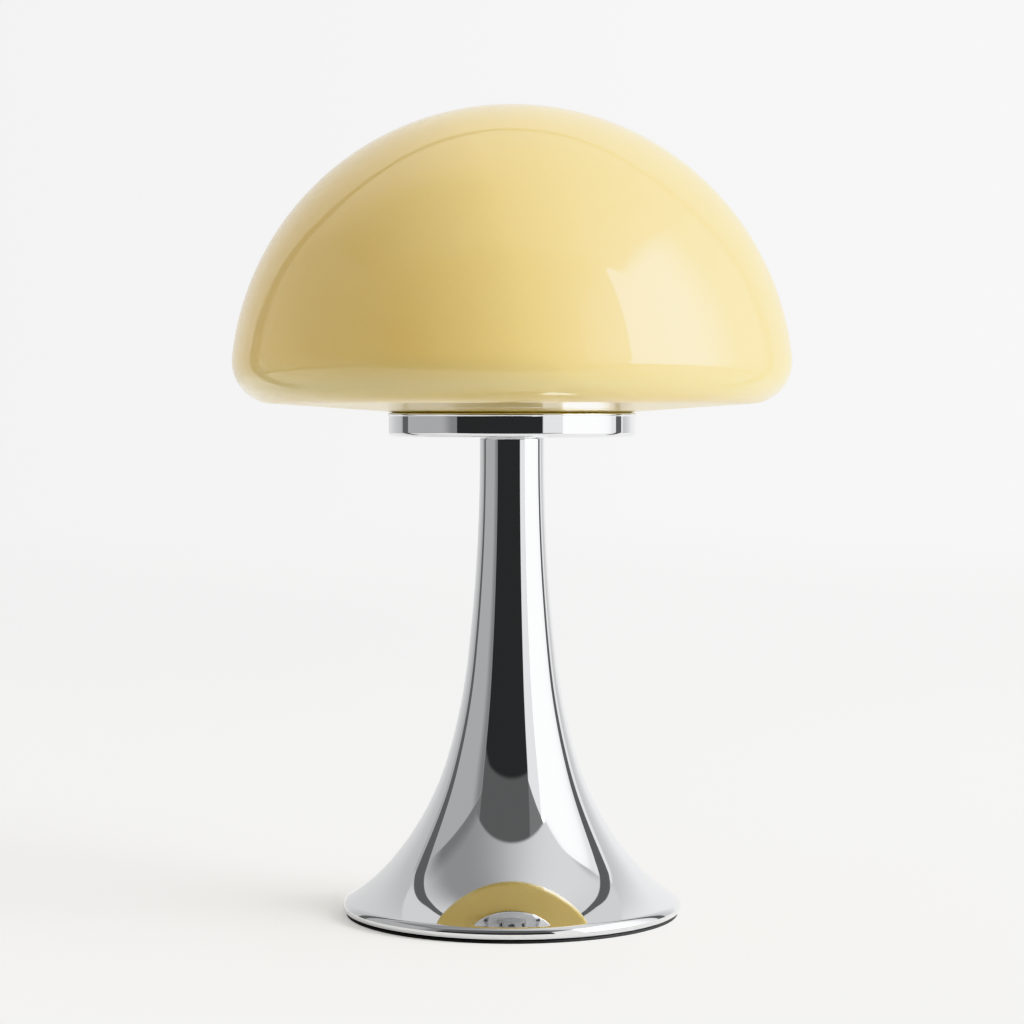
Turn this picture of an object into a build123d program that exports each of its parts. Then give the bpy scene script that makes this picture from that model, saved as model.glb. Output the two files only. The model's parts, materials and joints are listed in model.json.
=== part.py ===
from build123d import *
import math
import os

# Table lamp with a domed glass shade on a spun, flared stem. Millimetres, +Z up.
# The origin is on the table top, on the lamp's axis. The back of the lamp is +Y.

os.makedirs("parts", exist_ok=True)

# ---- driving sizes: foot and stem ----
pad_thickness = 1.5
pad_width = 24.0
pad_inset = 1.8  # the pad stands this far inside the rim
stem_height = 254.3
stem_wall = 1.2
stem_top_web = 2.4
stem_top_rounding = 1.5
neck_radius = 17.4

# the flare below the straight neck: tangent arcs, each with its radius and its turn
flare_top_radius = 931.0
flare_top_turn = 6.9
flare_upper_radius = 307.0
flare_upper_turn = 9.95
flare_lower_radius = 151.0
flare_lower_turn = 24.1
flare_foot_radius = 101.0
flare_foot_turn = 17.05

# the rolled rim below the flare turns back the other way
rim_crown_radius = 5.8
rim_crown_turn = 38.0
rim_edge_radius = 3.1

# ---- driving sizes: inside the foot ----
plate_thickness = 2.0
plate_clearance = 0.25
weight_height = 17.0
weight_clearance = 0.2
pocket_radius = 24.0
pocket_depth = 12.0
channel_width = 10.0
channel_height = 10.0
screw_circle_radius = 54.0
screw_count = 3
screw_radius = 2.0
screw_head_radius = 3.9
screw_length = 12.0
screw_start_angle = 30.0
screw_slot_length = 4.7
screw_slot_width = 0.8
screw_slot_depth = 1.0
screw_clearance = 0.1
earth_screw_radius = 2.0
earth_head_radius = 3.6
earth_head_height = 2.4
earth_head_chamfer = 0.5
earth_screw_length = 7.0
earth_slot_width = 0.9
earth_slot_depth = 1.2
earth_washer_radius = 4.6
earth_washer_thickness = 1.0
earth_place = 18.0  # distance of the earth screw from the axis
inlet_outer_radius = 4.6
inlet_bore_radius = 3.2
inlet_length = 14.5
inlet_stand_out = 1.6  # how far the bush stands past the rim
inlet_clearance = 0.1
inlet_mouth_rounding = 1.1

# ---- driving sizes: threaded tube and its nuts ----
tube_radius = 5.0
tube_bore_radius = 3.6
tube_below_nut = 1.5
thread_clearance = 0.05
hole_clearance = 0.3
nut_flats = 17.0
nut_height = 4.0
nut_chamfer = 0.6
washer_radius = 12.0
washer_thickness = 1.5
lock_washer_radius = 9.0
lock_washer_thickness = 1.0
lock_washer_gap = 2.0
bush_flange_radius = 5.6
bush_flange_thickness = 1.2
bush_length = 8.0
bush_wall = 0.9
bush_clearance = 0.15

# ---- driving sizes: gallery and gasket ----
gallery_radius = 66.5
gallery_height = 13.0
gallery_wall = 1.5
gallery_bottom_rounding = 2.0
gallery_top_rounding = 0.7
gallery_corner = 0.5
gasket_thickness = 2.0
gasket_clearance = 0.2
gasket_width = 5.6

# ---- driving sizes: glass shade ----
dome_radius = 150.0
dome_rise = 13.3  # the dome's centre above the shoulder
shade_rim_radius = 22.4
shade_slope = 3.94
shade_wall = 3.5
shade_gap = 0.3  # between the gallery's edge and the shoulder of the glass
shade_neck_clearance = 1.5
shade_neck_fillet = 1.2
shade_neck_rounding = 1.2

# ---- driving sizes: lampholder ----
cap_boss_radius = 8.0
cap_boss_height = 5.0
cap_flare_height = 4.0
holder_radius = 19.5
holder_wall = 2.2
cap_rim_height = 13.0
cap_ledge_drop = 6.0  # the ledge that carries the insert, below the cap's rim
cap_ledge_width = 2.3
holder_step = 0.1
insert_radius = 14.8
insert_clearance = 0.2
insert_flange = 1.5
insert_rise = 2.0  # the insert's top above the cap's rim
shell_inner_radius = 13.5
shell_wall = 0.5
shell_height = 23.0
shell_hole_radius = 8.5
sleeve_lip = 2.0
sleeve_height = 28.0
sleeve_thread_depth = 3.0
contact_width = 6.0
contact_thickness = 0.6
contact_rise = 3.0
contact_reach = 4.0
terminal_place = 11.4
terminal_width = 4.4
terminal_depth = 6.0
terminal_height = 5.2
terminal_screw_radius = 1.5
terminal_head_radius = 2.3
terminal_head_height = 1.6
terminal_slot_width = 0.6
terminal_slot_depth = 0.8
lock_screw_radius = 1.5
lock_screw_stand_out = 0.3
lock_slot_width = 0.5
lock_slot_depth = 0.7

# ---- driving sizes: bulb ----
bulb_gap = 0.3  # between the bulb's tip and the centre contact
tip_radius = 4.6
tip_height = 1.8
tip_stand_out = 0.9  # how far the tip stands below the insulator
tip_rounding = 1.2
tip_clearance = 0.1
insulator_lip = 0.9
insulator_height = 5.0
cap_thread_root = 12.1
cap_thread_crest = 13.1
thread_pitch = 3.629
thread_turns = 4
cap_metal = 0.6
cap_skirt_height = 5.0
globe_radius = 30.0
globe_wall = 1.2
housing_height = 35.0
housing_wall = 1.6
housing_foot_radius = 13.6
housing_overlap = 2.5  # how far the housing reaches down over the cap's skirt
housing_rim_lean = 32.0  # from upright, where the housing meets the globe
globe_rim_drop = 15.5  # the globe's open edge below its centre
led_board_thickness = 1.6
led_board_gap = 1.3
led_count = 10
led_size = 3.0
led_height = 0.8
led_circle_radius = 14.0
driver_width = 17.0
driver_length = 34.0
driver_thickness = 1.2

upright = (Align.CENTER, Align.CENTER, Align.MIN)


def sine(degrees):
    """Sine of an angle in degrees."""
    return math.sin(math.radians(degrees))


def cosine(degrees):
    """Cosine of an angle in degrees."""
    return math.cos(math.radians(degrees))


# ---- heights and radii worked out from the driving sizes ----
flare = [
    (flare_top_radius, flare_top_turn),
    (flare_upper_radius, flare_upper_turn),
    (flare_lower_radius, flare_lower_turn),
    (flare_foot_radius, flare_foot_turn),
]
flare_lean = 0.0
flare_drop = 0.0
flare_spread = 0.0
for arc_radius, arc_turn in flare:
    next_lean = flare_lean + arc_turn
    flare_drop += arc_radius * (sine(next_lean) - sine(flare_lean))
    flare_spread += arc_radius * (cosine(flare_lean) - cosine(next_lean))
    flare_lean = next_lean
edge_lean = flare_lean - rim_crown_turn
crown_drop = rim_crown_radius * (sine(flare_lean) - sine(edge_lean))
crown_spread = rim_crown_radius * (cosine(edge_lean) - cosine(flare_lean))
edge_drop = rim_edge_radius * (1 + sine(edge_lean))
edge_spread = rim_edge_radius * (1 - cosine(edge_lean))

stem_foot = pad_thickness
stem_top = stem_foot + stem_height
flare_foot = stem_foot + edge_drop + crown_drop
flare_start = flare_foot + flare_drop
flare_foot_outer = neck_radius + flare_spread
rim_radius = flare_foot_outer + crown_spread + edge_spread
rim_inner_radius = flare_foot_outer - stem_wall * cosine(flare_lean)

plate_top = stem_foot + plate_thickness
weight_top = plate_top + weight_height
pocket_ceiling = plate_top + pocket_depth
lower_washer_foot = pocket_ceiling - washer_thickness
lower_lock_foot = lower_washer_foot - lock_washer_thickness
lower_nut_foot = lower_lock_foot - nut_height
tube_foot = lower_nut_foot - tube_below_nut

gallery_floor = stem_top + gallery_wall
gallery_top = stem_top + gallery_height
gallery_inner_radius = gallery_radius - gallery_wall
upper_nut_foot = gallery_floor + washer_thickness
holder_foot = upper_nut_foot + nut_height

gasket_outer_radius = gallery_inner_radius - gallery_corner - gasket_clearance
gasket_inner_radius = gasket_outer_radius - gasket_width
gasket_top = gallery_floor + gasket_thickness

shoulder_height = gallery_top + shade_gap
dome_centre = shoulder_height + dome_rise
shade_neck_outer = gallery_inner_radius - shade_neck_clearance
shade_neck_inner = shade_neck_outer - shade_wall

cap_cone_foot = holder_foot + cap_boss_height
cap_wall_foot = cap_cone_foot + cap_flare_height
cap_rim = cap_wall_foot + cap_rim_height
cap_inner_radius = holder_radius - holder_wall
cap_ledge = cap_rim - cap_ledge_drop
cap_ledge_radius = cap_inner_radius - cap_ledge_width
tube_top = cap_wall_foot
insert_top = cap_rim + insert_rise
spigot_radius = cap_inner_radius - holder_step
spigot_inner_radius = insert_radius + insert_clearance
sleeve_foot = cap_ledge + insert_flange
sleeve_top = cap_rim + sleeve_height
shell_top = insert_top + shell_height
contact_top = insert_top + contact_rise

bulb_foot = contact_top + bulb_gap
insulator_foot = bulb_foot + tip_stand_out
thread_foot = insulator_foot + insulator_height
thread_top = thread_foot + thread_turns * thread_pitch
skirt_top = thread_top + cap_skirt_height
housing_top = skirt_top + housing_height
globe_centre = housing_top + globe_rim_drop
globe_rim_radius = math.sqrt(globe_radius**2 - globe_rim_drop**2)


def stem_face(inset):
    """Face between the axis and the stem's outline, with the outline moved inwards by inset."""
    with BuildSketch(Plane.XZ) as outline:
        with BuildLine():
            start = (neck_radius - inset, stem_top)
            run = Line(start, (neck_radius - inset, flare_start))
            for radius, turn in flare:
                run = JernArc(run @ 1, run % 1, radius + inset, turn)
            if inset == 0:
                run = JernArc(run @ 1, run % 1, rim_crown_radius, -rim_crown_turn)
                run = JernArc(run @ 1, run % 1, rim_edge_radius, -(90 + edge_lean))
            else:
                run = Line(run @ 1, ((run @ 1).X, stem_foot))
            Polyline(run @ 1, (0, stem_foot), (0, stem_top), start)
        make_face()
    return outline.sketch


def profile_face(points):
    """Closed face of radius and height pairs, to be turned about the axis."""
    with BuildSketch(Plane.XZ) as outline:
        with BuildLine():
            Polyline(*points, close=True)
        make_face()
    return outline.sketch


def ring_face(inner_radius, outer_radius, foot):
    """Flat ring about the axis, at a height."""
    with BuildSketch(Plane.XY.offset(foot)) as outline:
        Circle(outer_radius)
        Circle(inner_radius, mode=Mode.SUBTRACT)
    return outline.sketch


def hex_nut(foot):
    """Hexagon nut on the threaded tube, with its corners chamfered."""
    corner_radius = nut_flats / 2 / cosine(30)
    with BuildPart() as nut:
        with Locations((0, 0, foot)):
            Cylinder(corner_radius, nut_height, align=upright)
        chamfer(nut.edges().filter_by(GeomType.CIRCLE), nut_chamfer)
        with BuildSketch(Plane.XY.offset(foot)):
            RegularPolygon(corner_radius, 6)
        extrude(amount=nut_height, mode=Mode.INTERSECT)
        with Locations((0, 0, foot + nut_height)):
            Hole(tube_radius + thread_clearance)
    return nut


def finish(builder, name):
    """Name a finished piece and write it."""
    builder.part.label = name
    export_step(builder.part, f"parts/{name}.step")


# ---- foot ----
# rubber ring that the lamp stands on
with BuildPart() as base_pad:
    pad_outer_radius = rim_radius - pad_inset
    extrude(ring_face(pad_outer_radius - pad_width, pad_outer_radius, 0), amount=pad_thickness)
finish(base_pad, "base_pad")

# sheet steel cover under the foot, with countersunk holes
with BuildPart() as base_plate:
    with BuildSketch(Plane.XY.offset(stem_foot)):
        Circle(rim_inner_radius - plate_clearance)
    extrude(amount=plate_thickness)
    with Locations(Plane.XY.offset(stem_foot).rotated((180, 0, 0))):
        with PolarLocations(screw_circle_radius, screw_count, start_angle=-screw_start_angle):
            CounterSinkHole(
                screw_radius + screw_clearance,
                screw_head_radius + screw_clearance,
                depth=plate_thickness,
            )
finish(base_plate, "base_plate")

# countersunk screws that hold the plate to the weight
with BuildPart() as base_screws:
    head_height = screw_head_radius - screw_radius
    with PolarLocations(screw_circle_radius, screw_count, start_angle=screw_start_angle):
        with Locations((0, 0, stem_foot)):
            Cone(screw_head_radius, screw_radius, head_height, align=upright)
            Cylinder(screw_radius, screw_length, align=upright)
            for turn in (0, 90):
                Box(
                    screw_slot_length,
                    screw_slot_width,
                    screw_slot_depth,
                    rotation=(0, 0, turn),
                    align=upright,
                    mode=Mode.SUBTRACT,
                )
finish(base_screws, "base_screws")

# cast weight that fills the foot, with a pocket for the nut and a channel for the lead
with BuildPart() as base_weight:
    revolve(stem_face(stem_wall + weight_clearance), axis=Axis.Z)
    with Locations((0, 0, plate_top)):
        Cylinder(rim_radius, weight_height, align=upright, mode=Mode.INTERSECT)
    with BuildSketch(Plane.XY.offset(plate_top)):
        Circle(pocket_radius)
    extrude(amount=pocket_depth, mode=Mode.SUBTRACT)
    with BuildSketch(Plane.XY.offset(plate_top)):
        Rectangle(channel_width, rim_radius, align=(Align.CENTER, Align.MIN))
    extrude(amount=channel_height, mode=Mode.SUBTRACT)
    with Locations((0, 0, weight_top)):
        Hole(tube_radius + hole_clearance)
    with Locations(Plane.XY.offset(plate_top).rotated((180, 0, 0))):
        with PolarLocations(screw_circle_radius, screw_count, start_angle=-screw_start_angle):
            Hole(screw_radius + screw_clearance, depth=screw_length)
    with Locations(Plane.XY.offset(pocket_ceiling).rotated((180, 0, 0))):
        with Locations((earth_place, 0)):
            Hole(earth_screw_radius + screw_clearance, depth=earth_screw_length)
finish(base_weight, "base_weight")

# earth terminal in the pocket of the weight
with BuildPart() as earth_washer:
    with BuildSketch(Plane.XY.offset(pocket_ceiling - earth_washer_thickness)):
        with Locations((earth_place, 0)):
            Circle(earth_washer_radius)
            Circle(earth_screw_radius + screw_clearance, mode=Mode.SUBTRACT)
    extrude(amount=earth_washer_thickness)
finish(earth_washer, "earth_washer")

with BuildPart() as earth_screw:
    head_top = pocket_ceiling - earth_washer_thickness
    with BuildSketch(Plane.XY.offset(head_top - earth_head_height)):
        with Locations((earth_place, 0)):
            Circle(earth_head_radius)
    extrude(amount=earth_head_height)
    chamfer(earth_screw.faces().sort_by(Axis.Z)[0].edges(), earth_head_chamfer)
    with BuildSketch(Plane.XY.offset(head_top)):
        with Locations((earth_place, 0)):
            Circle(earth_screw_radius)
    extrude(amount=earth_screw_length)
    with BuildSketch(Plane.XY.offset(head_top - earth_head_height)):
        with Locations((earth_place, 0)):
            Rectangle(2 * earth_head_radius, earth_slot_width)
    extrude(amount=earth_slot_depth, mode=Mode.SUBTRACT)
finish(earth_screw, "earth_screw")

# rubber bush at the back of the foot, where the lead enters
inlet_height = plate_top + inlet_outer_radius + inlet_clearance
inlet_face = rim_radius + inlet_stand_out
with BuildPart() as cord_inlet:
    with BuildSketch(Plane.XZ.offset(-inlet_face)):
        with Locations((0, inlet_height)):
            Circle(inlet_outer_radius)
            Circle(inlet_bore_radius, mode=Mode.SUBTRACT)
    extrude(amount=inlet_length)
    outer_face = cord_inlet.faces().sort_by(Axis.Y)[-1]
    fillet(outer_face.outer_wire().edges(), inlet_mouth_rounding)
finish(cord_inlet, "cord_inlet")

# ---- stem ----
# spun trumpet with a closed top and a rolled rim
with BuildPart() as stem_shell:
    revolve(stem_face(0), axis=Axis.Z)
    revolve(stem_face(stem_wall), axis=Axis.Z, mode=Mode.SUBTRACT)
    extrude(
        ring_face(tube_radius + hole_clearance, neck_radius, stem_top - stem_top_web),
        amount=stem_top_web,
    )
    top_face = stem_shell.faces().sort_by(Axis.Z)[-1]
    fillet(top_face.outer_wire().edges(), stem_top_rounding)
    with BuildSketch(Plane.XZ.offset(-inlet_face)):
        with Locations((0, inlet_height)):
            Circle(inlet_outer_radius + inlet_clearance)
    extrude(amount=inlet_length, mode=Mode.SUBTRACT)
finish(stem_shell, "stem_shell")

# threaded tube through the whole stem, the lead's way up to the lampholder
with BuildPart() as threaded_tube:
    extrude(ring_face(tube_bore_radius, tube_radius, tube_foot), amount=tube_top - tube_foot)
finish(threaded_tube, "threaded_tube")

# plastic bush that covers the tube's lower edge
with BuildPart() as tube_bush:
    bush_outer_radius = tube_bore_radius - bush_clearance
    bush_inner_radius = bush_outer_radius - bush_wall
    extrude(ring_face(bush_inner_radius, bush_outer_radius, tube_foot), amount=bush_length)
    extrude(
        ring_face(bush_inner_radius, bush_flange_radius, tube_foot - bush_flange_thickness),
        amount=bush_flange_thickness,
    )
    fillet(tube_bush.faces().sort_by(Axis.Z)[0].inner_wires()[0].edges(), bush_wall / 2)
finish(tube_bush, "tube_bush")

lower_nut = hex_nut(lower_nut_foot)
finish(lower_nut, "lower_nut")

# split spring washer between the nut and the flat washer
with BuildPart() as lower_lock_washer:
    extrude(
        ring_face(tube_radius + hole_clearance, lock_washer_radius, lower_lock_foot),
        amount=lock_washer_thickness,
    )
    with BuildSketch(Plane.XY.offset(lower_lock_foot)):
        Rectangle(lock_washer_radius * 2, lock_washer_gap, align=(Align.MIN, Align.CENTER))
    extrude(amount=lock_washer_thickness, mode=Mode.SUBTRACT)
finish(lower_lock_washer, "lower_lock_washer")

with BuildPart() as lower_washer:
    extrude(
        ring_face(tube_radius + hole_clearance, washer_radius, lower_washer_foot),
        amount=washer_thickness,
    )
finish(lower_washer, "lower_washer")

# ---- gallery ----
# spun dish that takes the neck of the glass
with BuildPart() as gallery:
    with BuildSketch(Plane.XZ) as dish:
        with BuildLine():
            Polyline(
                (tube_radius + hole_clearance, stem_top),
                (gallery_radius, stem_top),
                (gallery_radius, gallery_top),
                (gallery_inner_radius, gallery_top),
                (gallery_inner_radius, gallery_floor),
                (tube_radius + hole_clearance, gallery_floor),
                close=True,
            )
        make_face()
        foot_corner = (gallery_radius, stem_top)
        floor_corner = (gallery_inner_radius, gallery_floor)
        lip_corner = (gallery_radius, gallery_top)
        fillet(dish.vertices().sort_by_distance(foot_corner)[0], gallery_bottom_rounding)
        fillet(dish.vertices().sort_by_distance(floor_corner)[0], gallery_corner)
        fillet(dish.vertices().sort_by_distance(lip_corner)[:2], gallery_top_rounding)
    revolve(axis=Axis.Z)
finish(gallery, "gallery")

# silicone ring on the gallery's floor, under the neck of the glass
with BuildPart() as gallery_gasket:
    extrude(
        ring_face(gasket_inner_radius, gasket_outer_radius, gallery_floor),
        amount=gasket_thickness,
    )
finish(gallery_gasket, "gallery_gasket")

with BuildPart() as upper_washer:
    extrude(
        ring_face(tube_radius + hole_clearance, washer_radius, gallery_floor),
        amount=washer_thickness,
    )
finish(upper_washer, "upper_washer")

upper_nut = hex_nut(upper_nut_foot)
finish(upper_nut, "upper_nut")

# ---- glass shade ----
# The rim's arc touches the dome from inside and runs out along the sloping underside.
slope_tangent = math.tan(math.radians(shade_slope))
rim_reach = dome_radius - shade_rim_radius
rim_lift = shade_rim_radius / cosine(shade_slope)
rim_lift += shoulder_height - gallery_inner_radius * slope_tangent - dome_centre
slope_factor = 1 + slope_tangent**2
rim_centre_radius = math.sqrt(rim_reach**2 * slope_factor - rim_lift**2)
rim_centre_radius = (rim_centre_radius - rim_lift * slope_tangent) / slope_factor
rim_centre_height = dome_centre + rim_lift + rim_centre_radius * slope_tangent
rim_join_angle = math.degrees(math.atan2(rim_centre_height - dome_centre, rim_centre_radius))


def underside(radius, lift):
    """Height of the sloping underside at a radius, moved up by a thickness of glass."""
    slope_height = shoulder_height + (radius - gallery_inner_radius) * slope_tangent
    return slope_height + lift / cosine(shade_slope)


with BuildPart() as shade_glass:
    with BuildSketch(Plane.XZ) as glass:
        with BuildLine():
            rim_start = shade_slope - 90
            rim_sweep = rim_join_angle - rim_start
            dome_sweep = 90 - rim_join_angle
            rim_centre = (rim_centre_radius, rim_centre_height)
            outer_dome = CenterArc((0, dome_centre), dome_radius, rim_join_angle, dome_sweep)
            outer_rim = CenterArc(rim_centre, shade_rim_radius, rim_start, rim_sweep)
            inner_dome = CenterArc(
                (0, dome_centre), dome_radius - shade_wall, rim_join_angle, dome_sweep
            )
            inner_rim = CenterArc(
                rim_centre, shade_rim_radius - shade_wall, rim_start, rim_sweep
            )
            Polyline(
                outer_rim @ 0,
                (shade_neck_outer, underside(shade_neck_outer, 0)),
                (shade_neck_outer, gasket_top),
                (shade_neck_inner, gasket_top),
                (shade_neck_inner, underside(shade_neck_inner, shade_wall)),
                inner_rim @ 0,
            )
            Line(outer_dome @ 1, inner_dome @ 1)
        make_face()
        neck_corner = (shade_neck_outer, underside(shade_neck_outer, 0))
        mouth_corner = (shade_neck_inner, underside(shade_neck_inner, shade_wall))
        inner_fillet = shade_neck_fillet + shade_wall
        fillet(glass.vertices().sort_by_distance(neck_corner)[0], shade_neck_fillet)
        fillet(glass.vertices().sort_by_distance(mouth_corner)[0], inner_fillet)
        fillet(glass.vertices().group_by(Axis.Y)[0], shade_neck_rounding)
    revolve(axis=Axis.Z)
finish(shade_glass, "shade_glass")

# ---- lampholder ----
# lower cap, screwed onto the end of the tube
with BuildPart() as holder_cap:
    outline = profile_face(
        [
            (tube_radius + thread_clearance, holder_foot),
            (cap_boss_radius, holder_foot),
            (cap_boss_radius, cap_cone_foot),
            (holder_radius, cap_wall_foot),
            (holder_radius, cap_rim),
            (cap_inner_radius, cap_rim),
            (cap_inner_radius, cap_ledge),
            (cap_ledge_radius, cap_ledge),
            (cap_ledge_radius, cap_wall_foot + holder_wall),
            (cap_boss_radius, cap_cone_foot + holder_wall),
            (tube_radius + thread_clearance, cap_cone_foot + holder_wall),
        ]
    )
    revolve(outline, axis=Axis.Z)
    with Locations(Plane.YZ.offset(cap_boss_radius)):
        with Locations((0, holder_foot + cap_boss_height / 2)):
            Hole(lock_screw_radius, depth=cap_boss_radius - tube_radius)
finish(holder_cap, "holder_cap")

# grub screw that keeps the cap from turning on the tube
with BuildPart() as holder_lock_screw:
    lock_length = cap_boss_radius + lock_screw_stand_out - tube_radius - thread_clearance
    with BuildSketch(Plane.YZ.offset(tube_radius + thread_clearance)):
        with Locations((0, holder_foot + cap_boss_height / 2)):
            Circle(lock_screw_radius - thread_clearance)
    extrude(amount=lock_length)
    with BuildSketch(Plane.YZ.offset(cap_boss_radius + lock_screw_stand_out)):
        with Locations((0, holder_foot + cap_boss_height / 2)):
            Rectangle(2 * lock_screw_radius, lock_slot_width)
    extrude(amount=-lock_slot_depth, mode=Mode.SUBTRACT)
finish(holder_lock_screw, "holder_lock_screw")

# ceramic insert that carries the contacts, clamped between the cap and the sleeve
with BuildPart() as holder_insert:
    outline = profile_face(
        [
            (0, cap_ledge),
            (spigot_radius, cap_ledge),
            (spigot_radius, sleeve_foot),
            (insert_radius, sleeve_foot),
            (insert_radius, insert_top),
            (0, insert_top),
        ]
    )
    revolve(outline, axis=Axis.Z)
    with Locations((0, 0, insert_top)):
        with GridLocations(terminal_place * 2, 0, 2, 1):
            Hole(terminal_screw_radius)
finish(holder_insert, "holder_insert")

# outer sleeve, with the spigot that screws into the cap
with BuildPart() as holder_sleeve:
    outline = profile_face(
        [
            (spigot_inner_radius, sleeve_foot),
            (spigot_radius, sleeve_foot),
            (spigot_radius, cap_rim),
            (holder_radius, cap_rim),
            (holder_radius, sleeve_top),
            (shell_inner_radius + shell_wall + holder_step, sleeve_top),
            (shell_inner_radius + shell_wall + holder_step, sleeve_top - sleeve_lip),
            (spigot_radius, sleeve_top - sleeve_lip),
            (spigot_radius, insert_top + sleeve_thread_depth),
            (spigot_inner_radius, insert_top),
        ]
    )
    revolve(outline, axis=Axis.Z)
    fillet(holder_sleeve.faces().sort_by(Axis.Z)[-1].outer_wire().edges(), sleeve_lip / 2)
finish(holder_sleeve, "holder_sleeve")

# brass screw shell that takes the bulb's cap
with BuildPart() as holder_shell:
    outline = profile_face(
        [
            (shell_hole_radius, insert_top),
            (shell_inner_radius + shell_wall, insert_top),
            (shell_inner_radius + shell_wall, shell_top),
            (shell_inner_radius, shell_top),
            (shell_inner_radius, insert_top + shell_wall),
            (shell_hole_radius, insert_top + shell_wall),
        ]
    )
    revolve(outline, axis=Axis.Z)
finish(holder_shell, "holder_shell")

# springy brass tongue under the bulb's tip
with BuildPart() as centre_contact:
    with BuildSketch(Plane.XZ.offset(-contact_width / 2)):
        with BuildLine():
            foot_end = contact_thickness - shell_hole_radius
            top_start = -contact_reach / 2
            Polyline(
                (foot_end, insert_top),
                (-contact_reach, insert_top),
                (top_start + contact_thickness, contact_top - contact_thickness),
                (contact_reach, contact_top - contact_thickness),
                (contact_reach, contact_top),
                (top_start, contact_top),
                (-contact_reach - contact_thickness, insert_top + contact_thickness),
                (foot_end, insert_top + contact_thickness),
                close=True,
            )
        make_face()
    extrude(amount=contact_width)
finish(centre_contact, "centre_contact")

# two brass terminals under the insert, and their screws
terminal_top = cap_ledge
terminal_middle = terminal_top - terminal_height / 2
with BuildPart() as terminals:
    with BuildSketch(Plane.XY.offset(terminal_top)):
        with GridLocations(terminal_place * 2, 0, 2, 1):
            Rectangle(terminal_width, terminal_depth)
    extrude(amount=-terminal_height)
    with Locations(Plane.XZ.offset(terminal_depth / 2)):
        with Locations((-terminal_place, terminal_middle), (terminal_place, terminal_middle)):
            Hole(terminal_screw_radius + thread_clearance)
finish(terminals, "terminals")

with BuildPart() as terminal_screws:
    with BuildSketch(Plane.XZ.offset(terminal_depth / 2)):
        with Locations((-terminal_place, terminal_middle), (terminal_place, terminal_middle)):
            Circle(terminal_head_radius)
    extrude(amount=terminal_head_height)
    with BuildSketch(Plane.XZ.offset(terminal_depth / 2)):
        with Locations((-terminal_place, terminal_middle), (terminal_place, terminal_middle)):
            Circle(terminal_screw_radius)
    extrude(amount=-terminal_depth)
    with BuildSketch(Plane.XZ.offset(terminal_depth / 2 + terminal_head_height)):
        with Locations((-terminal_place, terminal_middle), (terminal_place, terminal_middle)):
            Rectangle(terminal_slot_width, 2 * terminal_head_radius)
    extrude(amount=-terminal_slot_depth, mode=Mode.SUBTRACT)
finish(terminal_screws, "terminal_screws")

# ---- bulb ----
# tip contact: it rises with the bulb, and the rest of the bulb turns about it
with BuildPart() as bulb_tip:
    with BuildSketch(Plane.XY.offset(bulb_foot)):
        Circle(tip_radius)
    extrude(amount=tip_height)
    fillet(bulb_tip.faces().sort_by(Axis.Z)[0].edges(), tip_rounding)
finish(bulb_tip, "bulb_tip")

# black glass ring between the tip and the cap's metal
with BuildPart() as bulb_insulator:
    outline = profile_face(
        [
            (tip_radius + tip_clearance, insulator_foot),
            (tip_radius + tip_clearance + insulator_lip, insulator_foot),
            (cap_thread_root - cap_metal, thread_foot - cap_metal),
            (cap_thread_root - cap_metal, thread_foot + cap_metal),
            (tip_radius + tip_clearance, thread_foot),
        ]
    )
    revolve(outline, axis=Axis.Z)
finish(bulb_insulator, "bulb_insulator")

# screw cap; the thread stands as rings of the thread's own pitch
with BuildPart() as bulb_screw_cap:
    with BuildSketch(Plane.XZ):
        with BuildLine():
            edge = Line(
                (cap_thread_root - cap_metal, thread_foot - cap_metal),
                (cap_thread_root, thread_foot),
            )
            for turn in range(thread_turns):
                ring_foot = thread_foot + turn * thread_pitch
                edge = ThreePointArc(
                    edge @ 1,
                    (cap_thread_crest, ring_foot + thread_pitch / 2),
                    (cap_thread_root, ring_foot + thread_pitch),
                )
            Polyline(
                edge @ 1,
                (housing_foot_radius - housing_wall, thread_top),
                (housing_foot_radius - housing_wall, skirt_top),
                (cap_thread_root - cap_metal, skirt_top),
                (cap_thread_root - cap_metal, thread_foot - cap_metal),
            )
        make_face()
    revolve(axis=Axis.Z)
finish(bulb_screw_cap, "bulb_screw_cap")

# plastic housing that flares from the cap to the globe
with BuildPart() as bulb_housing:
    with BuildSketch(Plane.XZ):
        with BuildLine():
            foot_height = skirt_top - housing_overlap
            rim_tangent = (sine(housing_rim_lean), cosine(housing_rim_lean))
            outer = Spline(
                (housing_foot_radius, skirt_top),
                (globe_rim_radius, housing_top),
                tangents=[(0, 1), rim_tangent],
            )
            inner = Spline(
                (housing_foot_radius - housing_wall, skirt_top),
                (globe_rim_radius - housing_wall, housing_top),
                tangents=[(0, 1), rim_tangent],
            )
            Line(outer @ 1, inner @ 1)
            Polyline(
                outer @ 0,
                (housing_foot_radius, foot_height),
                (housing_foot_radius - housing_wall, foot_height),
                inner @ 0,
            )
        make_face()
    revolve(axis=Axis.Z)
finish(bulb_housing, "bulb_housing")

# opal globe
with BuildPart() as bulb_globe:
    with BuildSketch(Plane.XZ):
        with BuildLine():
            rim_angle = -math.degrees(math.asin(globe_rim_drop / globe_radius))
            inner_radius = globe_radius - globe_wall
            inner_angle = -math.degrees(math.asin(globe_rim_drop / inner_radius))
            outer = CenterArc((0, globe_centre), globe_radius, rim_angle, 90 - rim_angle)
            inner = CenterArc((0, globe_centre), inner_radius, inner_angle, 90 - inner_angle)
            Line(outer @ 0, inner @ 0)
            Line(outer @ 1, inner @ 1)
        make_face()
    revolve(axis=Axis.Z)
finish(bulb_globe, "bulb_globe")

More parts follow.
